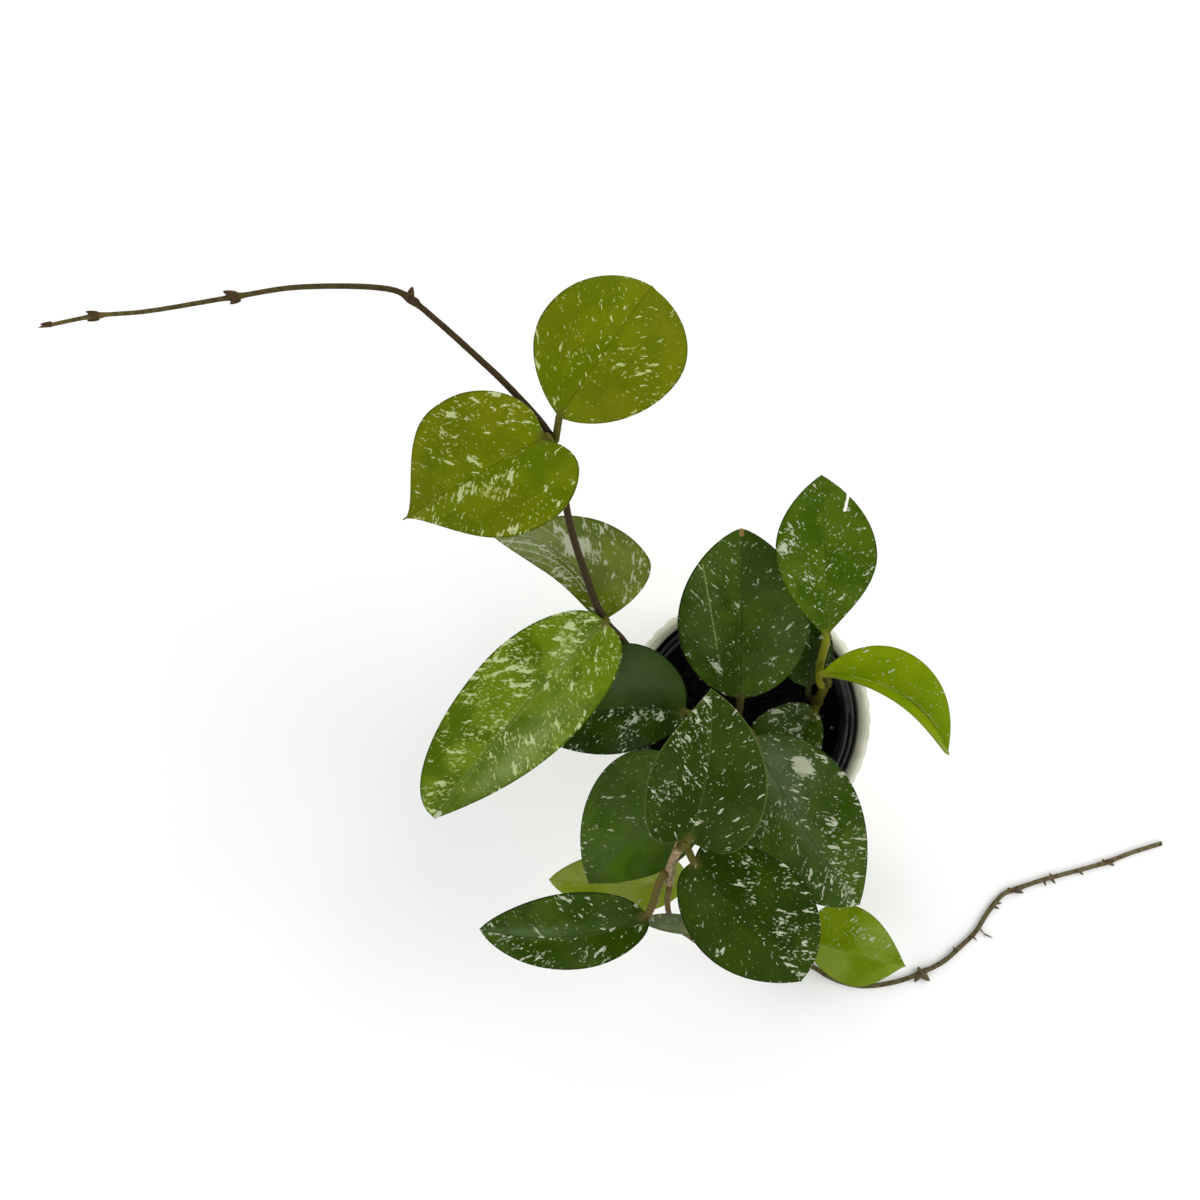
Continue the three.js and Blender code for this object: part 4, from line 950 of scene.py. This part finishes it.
leaves = [
    dict(name="folded_dark_leaf", node="leaf_folded_dark", slot="leaf_dark", knot=long_knots[0], seed=1.0,
         heel=(-31, 5.5, 141), point=(-106, -1.5, 149), bow=-5, arch=5, lift=(3, 14), crease=1, lobe=(3, 3),
         left=(20.5, 0.45, 0.6, 0.8), right=(30.5, 0.35, 0.65, 0.8),
         deep=(24, 46, 0), bright=(40, 62, 4), tint=(68, 86, 52),
         marks=(0.35, 0.0), patches=[(0.3, 0.2, 0.2, 0.2, 0.25)], painted_sheen=[(0.45, -0.5, 0.5, 0.3, 0.5)]),
    dict(name="long_splashed_leaf", node="leaf_long_splashed", slot="leaf_mid", knot=long_knots[1],
         seed=22.0,
         heel=(-67.8, 47.5, 177), point=(-145, -42, 158), bow=-3, arch=8, lift=(4, 3), wave=1, lobe=(2, 2),
         left=(25, 0.35, 0.36, 1), right=(26.5, 0.42, 0.52, 0.43),
         deep=(68, 90, 0), bright=(92, 114, 12), tint=(124, 142, 78), tinted=0.05, edge=(44, 62, 0),
         splash=CREAM, fleck=(150, 164, 94),
         marks=(0.4, 0.46),
         patches=[(0.2, -0.4, 0.15, 0.4, 0.3), (0.5, -0.45, 0.15, 0.4, 0.2), (0.45, 0.25, 0.15, 0.25, 0.2)],
         painted_sheen=[(0.6, 0.6, 0.25, 0.35, 0.75), (0.2, -0.1, 0.12, 0.2, 0.3)],
         scars=[((116, 0), (121, 0), 1.2, (188, 194, 168), 0.8)]),
    dict(name="leaf_behind_the_vine", node="leaf_behind_vine", slot="leaf_grey", knot=long_knots[1],
         seed=3.0,
         heel=(-68.2, 48.5, 161), point=(-119.7, 88, 150), bow=-12, arch=2, lift=(-3, 5), crease=1,
         left=(11, 0.55, 0.55, 0.7), right=(29.5, 0.2, 0.9, 1.4, 1.6),
         deep=(78, 92, 8), bright=(96, 110, 24), tint=(134, 142, 106), tinted=0.1, edge=(56, 68, 4),
         splash=(172, 176, 148), fleck=(156, 164, 126),
         marks=(0.6, 0.35), patches=[(0.45, -0.35, 0.14, 0.22, 1.6)],
         painted_sheen=[(0.85, 0.5, 0.28, 0.7, 0.7), (0.85, -0.5, 0.2, 0.5, 0.6), (0.45, -0.3, 0.12, 0.25, 0.3)],
         # These pale streaks are painted sheen on the steep blade.
         scars=[((14, 3), (56, 5.5), 0.35, (176, 182, 156), 0.6), ((20, 6),
                (50, 8.5), 0.3, (176, 182, 156), 0.5), ((10, 1.2), (44, 2.2), 0.25, (184, 188, 164), 0.6),
                ((30, -4), (60, -9), 0.3, (176, 182, 156), 0.4), ((46, 1.5),
                (62, 3), 0.5, (176, 182, 156), 0.6)]),
    dict(name="round_pointed_leaf", node="leaf_round_pointed", slot="leaf_olive", knot=long_knots[2],
         seed=4.0,
         heel=(-93.3, 126.2, 229), point=(-154, 92, 214), bow=0, arch=6, lift=(3, 3), wave=1, lobe=(9.5, 3),
         stalk=1.6, left=(32.3, 0.25, 0.35, 1.6, 2.5), right=(33.5, 0.42, 0.42, 2.1, 3),
         deep=(80, 98, 0), bright=(96, 108, 2), tint=(108, 104, 8), tinted=0.35, edge=(58, 70, 0),
         splash=CREAM, fleck=(160, 166, 98),
         marks=(0.45, 0.38), patches=[(0.5, 0.25, 0.12, 0.25, 0.35)]),
    dict(name="round_top_leaf", node="leaf_round_top", slot="leaf_olive", knot=long_knots[2], seed=5.0,
         heel=(-87, 134.5, 230), point=(-48.5, 188, 236), bow=0, arch=6, lift=(3, 3), wave=1, bend=0.2,
         stalk=1.6, left=(30, 0.47, 0.72, 0.55), right=(32, 0.6, 0.65, 0.5),
         deep=(84, 100, 0), bright=(100, 110, 2), tint=(106, 104, 8), tinted=0.35, edge=(58, 70, 0),
         splash=(170, 180, 116), fleck=(154, 164, 94),
         marks=(0.2, 0.28), patches=[(0.35, -0.3, 0.15, 0.3, 0.4)]),
    dict(name="lower_left_leaf", node="leaf_lower_left", slot="leaf_dark", knot=old_knots[1], seed=6.0,
         heel=(-27.5, -22, 125), point=(-75, -77.5, 117), bow=0, arch=3, lift=(2, 2),
         left=(25, 0.4, 0.5, 1), right=(30.5, 0.36, 0.4, 0.8),
         deep=(50, 78, 0), bright=(64, 92, 8), tint=(84, 102, 60), edge=(56, 70, 28),
         marks=(0.0, 0.03), patches=[(0.4, 0.1, 0.05, 0.1, 0.8)], painted_sheen=[(0.5, 0.1, 0.2, 0.5, 0.35)]),
    dict(name="oval_leaf", node="leaf_oval", slot="leaf_dark", knot=old_knots[0], seed=7.0,
         heel=(-3, 11, 116), point=(-5, 90.5, 150), bow=0, arch=4, lift=(3, 3), left=(30, 0.45, 0.6, 0.73),
         right=(31.5, 0.43, 0.5, 0.75),
         deep=(42, 64, 4), bright=(60, 84, 12), tint=(68, 90, 36), stalk_colour=(50, 44, 20),
         marks=(0.1, 0.1),
         patches=[(0.18, 0.45, 0.055, 0.14, 1.5), (0.22, -0.55, 0.06, 0.14, 1.2),
                  (0.6, 0.75, 0.06, 0.1, 0.8)],
         painted_sheen=[(0.5, 0.6, 0.3, 0.3, 0.6), (0.4, -0.6, 0.25, 0.3, 0.6)],
         scars=[((69.5, 18.2), (26.5, 11.4), 0.35, (150, 156, 100), 0.55), ((84, 0),
                (88, 0), 1.3, (142, 116, 66), 0.9)]),
    dict(name="large_splashed_leaf", node="leaf_large_splashed", slot="leaf_dark", knot=old_knots[0],
         seed=8.0,
         heel=(3, -8, 118), point=(53, -86.5, 122), bow=-3, arch=8, lift=(2, 3), left=(30, 0.42, 0.5, 0.87),
         right=(29, 0.45, 0.5, 0.75),
         deep=(42, 66, 4), bright=(58, 80, 14), tint=(84, 98, 64), tinted=0.12, freckled=0.6,
         marks=(0.35, 0.42), patches=[(0.23, 0.52, 0.07, 0.17, 1.2), (0.9, 0.1, 0.1, 0.8, 0.2)],
         painted_sheen=[(0.15, 0.2, 0.2, 0.6, 0.9), (0.45, 0.05, 0.2, 0.25, 0.6)]),
    dict(name="heart_leaf", node="leaf_heart", slot="leaf_dark", knot=old_knots[2], seed=9.0,
         heel=(-29.5, -52.5, 153), point=(-20.5, 18, 174), bow=-3.5, arch=6, lift=(4, 4), lobe=(6, 2),
         left=(26, 0.35, 0.22, 1.1), right=(28.5, 0.32, 0.22, 0.92),
         # The heart leaf's pale edge colour is a painted highlight along its turned edge.
         deep=(34, 54, 0), bright=(46, 66, 12), tint=(52, 70, 26), edge=(80, 92, 46), freckled=0.8,
         marks=(0.45, 0.02), patches=[(0.75, -0.4, 0.15, 0.4, 0.35), (0.12, -0.4, 0.04, 0.25, 0.6)]),
    dict(name="lower_centre_leaf", node="leaf_lower_centre", slot="leaf_dark", knot=old_knots[2], seed=10.0,
         heel=(-26.5, -63.5, 143), point=(24, -121, 132), bow=0, arch=6, lift=(3, 3), lobe=(9, 3),
         left=(32, 0.5, 0.52, 0.58), right=(24.5, 0.42, 0.5, 0.87),
         deep=(30, 50, 0), bright=(42, 62, 0), tint=(48, 68, 18), freckled=0.8,
         marks=(0.4, 0.05), patches=[(0.5, 0.4, 0.15, 0.4, 0.2)], painted_sheen=[(0.3, -0.45, 0.25, 0.35, 0.6)]),
    dict(name="lower_long_leaf", node="leaf_lower_long", slot="leaf_dark", knot=old_knots[3], seed=11.0,
         heel=(-48.3, -91.9, 122), point=(-127.5, -100, 112), bow=6, arch=6, lift=(3, 3), lobe=(2, 0),
         bend=0.5, stalk=1.9, left=(15.5, 0.4, 0.5, 0.75), right=(21, 0.45, 0.5, 0.77),
         deep=(38, 60, 0), bright=(54, 76, 6), tint=(74, 94, 54), tinted=0.15, stalk_colour=(84, 74, 26),
         freckled=0.9,
         marks=(0.38, 0.06), patches=[(0.4, 0.15, 0.12, 0.3, 0.2)], painted_sheen=[(0.7, -0.15, 0.35, 0.14, 0.9)]),
    dict(name="bright_left_leaf", node="leaf_bright_left", slot="leaf_bright", knot=shoot_knots[0],
         seed=12.0,
         heel=(-27, -85, 66), point=(-95, -80, 86), bow=0, arch=5, lift=(2, 2), stalk=1.4,
         left=(15, 0.45, 0.6, 0.8), right=(17, 0.4, 0.35, 0.8),
         deep=(126, 142, 12), bright=(142, 158, 32), tint=(152, 164, 84), tinted=0.4, edge=(112, 126, 30),
         marks=(0.08, 0.08), painted_sheen=[(0.5, 0, 0.8, 1.5, 0.25)]),
    dict(name="small_grey_leaf", node="leaf_small_grey", slot="leaf_grey", knot=shoot_knots[0], seed=13.0,
         heel=(-14.5, -105, 81), point=(-52.5, -97.5, 98), bow=0, arch=2, lift=(2, -3), stalk=1.2,
         left=(4, 0.45, 0.6, 0.9), right=(5, 0.45, 0.6, 0.9),
         deep=(110, 120, 84), bright=(124, 134, 98), tint=(62, 80, 34), edge=(86, 98, 64),
         marks=(0.5, 0.5)),
    dict(name="bright_low_leaf", node="leaf_bright_low", slot="leaf_bright", knot=shoot_knots[1], seed=14.0,
         heel=(37.5, -120, 25), point=(89.5, -133.5, 27), bow=0, arch=5, lift=(2, -2), stalk=1.4,
         left=(24.5, 0.35, 0.3, 1.1), right=(17, 0.52, 0.7, 1.3),
         deep=(92, 112, 0), bright=(102, 122, 6), tint=(124, 142, 58), tinted=0.5, edge=(88, 104, 10),
         marks=(0.05, 0.0), patches=[(0.4, 0.5, 0.15, 0.3, 0.25)]),
    dict(name="top_right_leaf", node="leaf_top_right", slot="leaf_mid", knot=short_knots[1], seed=15.0,
         heel=(34, 40, 150), point=(30, 114, 166), bow=0, arch=5, lift=(2, 3), bend=0.4, stalk=1.9,
         left=(22.5, 0.55, 1.1, 0.9), right=(23.3, 0.5, 1.3, 0.9),
         deep=(52, 78, 0), bright=(68, 92, 8), tint=(76, 98, 24), edge=(38, 58, 0),
         stalk_colour=(108, 112, 10),
         marks=(0.2, 0.2), patches=[(0.6, 0.8, 0.08, 0.25, 0.7), (0.35, 0.3, 0.06, 0.2, 0.5)],
         scars=[((66.5, -11.6), (59, -9.6), 0.7, (240, 240, 234), 1.0)]),
    dict(name="folded_bright_leaf", node="leaf_folded_bright", slot="leaf_bright", knot=short_knots[1],
         seed=16.0,
         heel=(33.3, 23.4, 138), point=(94, -15, 128), bow=10.6, arch=8, lift=(3, 14), crease=1, bend=0.35,
         stalk=1.7, left=(19.2, 0.41, 0.85, 1.15), right=(4.5, 0.7, 1, 0.6),
         deep=(104, 126, 0), bright=(114, 134, 0), tint=(100, 120, 6), edge=(96, 114, 6),
         stalk_colour=(104, 108, 12),
         marks=(0.025, 0.0),
         # A painted highlight along the fold's ridge.
         scars=[((12, 0), (66, 0), 0.35, (168, 182, 110), 0.55), ((25, 1.3),
                (60, 1.9), 0.25, (168, 182, 110), 0.4)]),
    dict(name="small_inner_leaf", node="leaf_small_inner", slot="leaf_dark", knot=short_knots[0], seed=17.0,
         heel=(30, 16.5, 110), point=(30, 54, 120), bow=0, arch=3, lift=(4, 5), crease=1, stalk=1.5,
         left=(13, 0.35, 0.45, 0.8), right=(10.5, 0.45, 0.6, 0.8),
         deep=(30, 52, 0), bright=(44, 66, 8), stalk_colour=(44, 46, 10),
         marks=(0.05, 0.05)),
    dict(name="small_splashed_leaf", node="leaf_small_splashed", slot="leaf_dark", knot=short_knots[0],
         seed=18.0,
         heel=(33.2, 4.8, 111), point=(10, -27.5, 99), bow=0, arch=3, lift=(2, -3), lobe=(3, 3), stalk=1.5,
         left=(14.5, 0.5, 0.9, 0.8), right=(20, 0.55, 0.65, 0.8),
         deep=(42, 62, 4), bright=(58, 80, 18), edge=(30, 46, 6),
         marks=(0.5, 0.65)),
]
for leaf in leaves:
    grown = leaf_piece({**plain_leaf, **leaf})
    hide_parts(leaf["node"])
    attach(grown, "root")
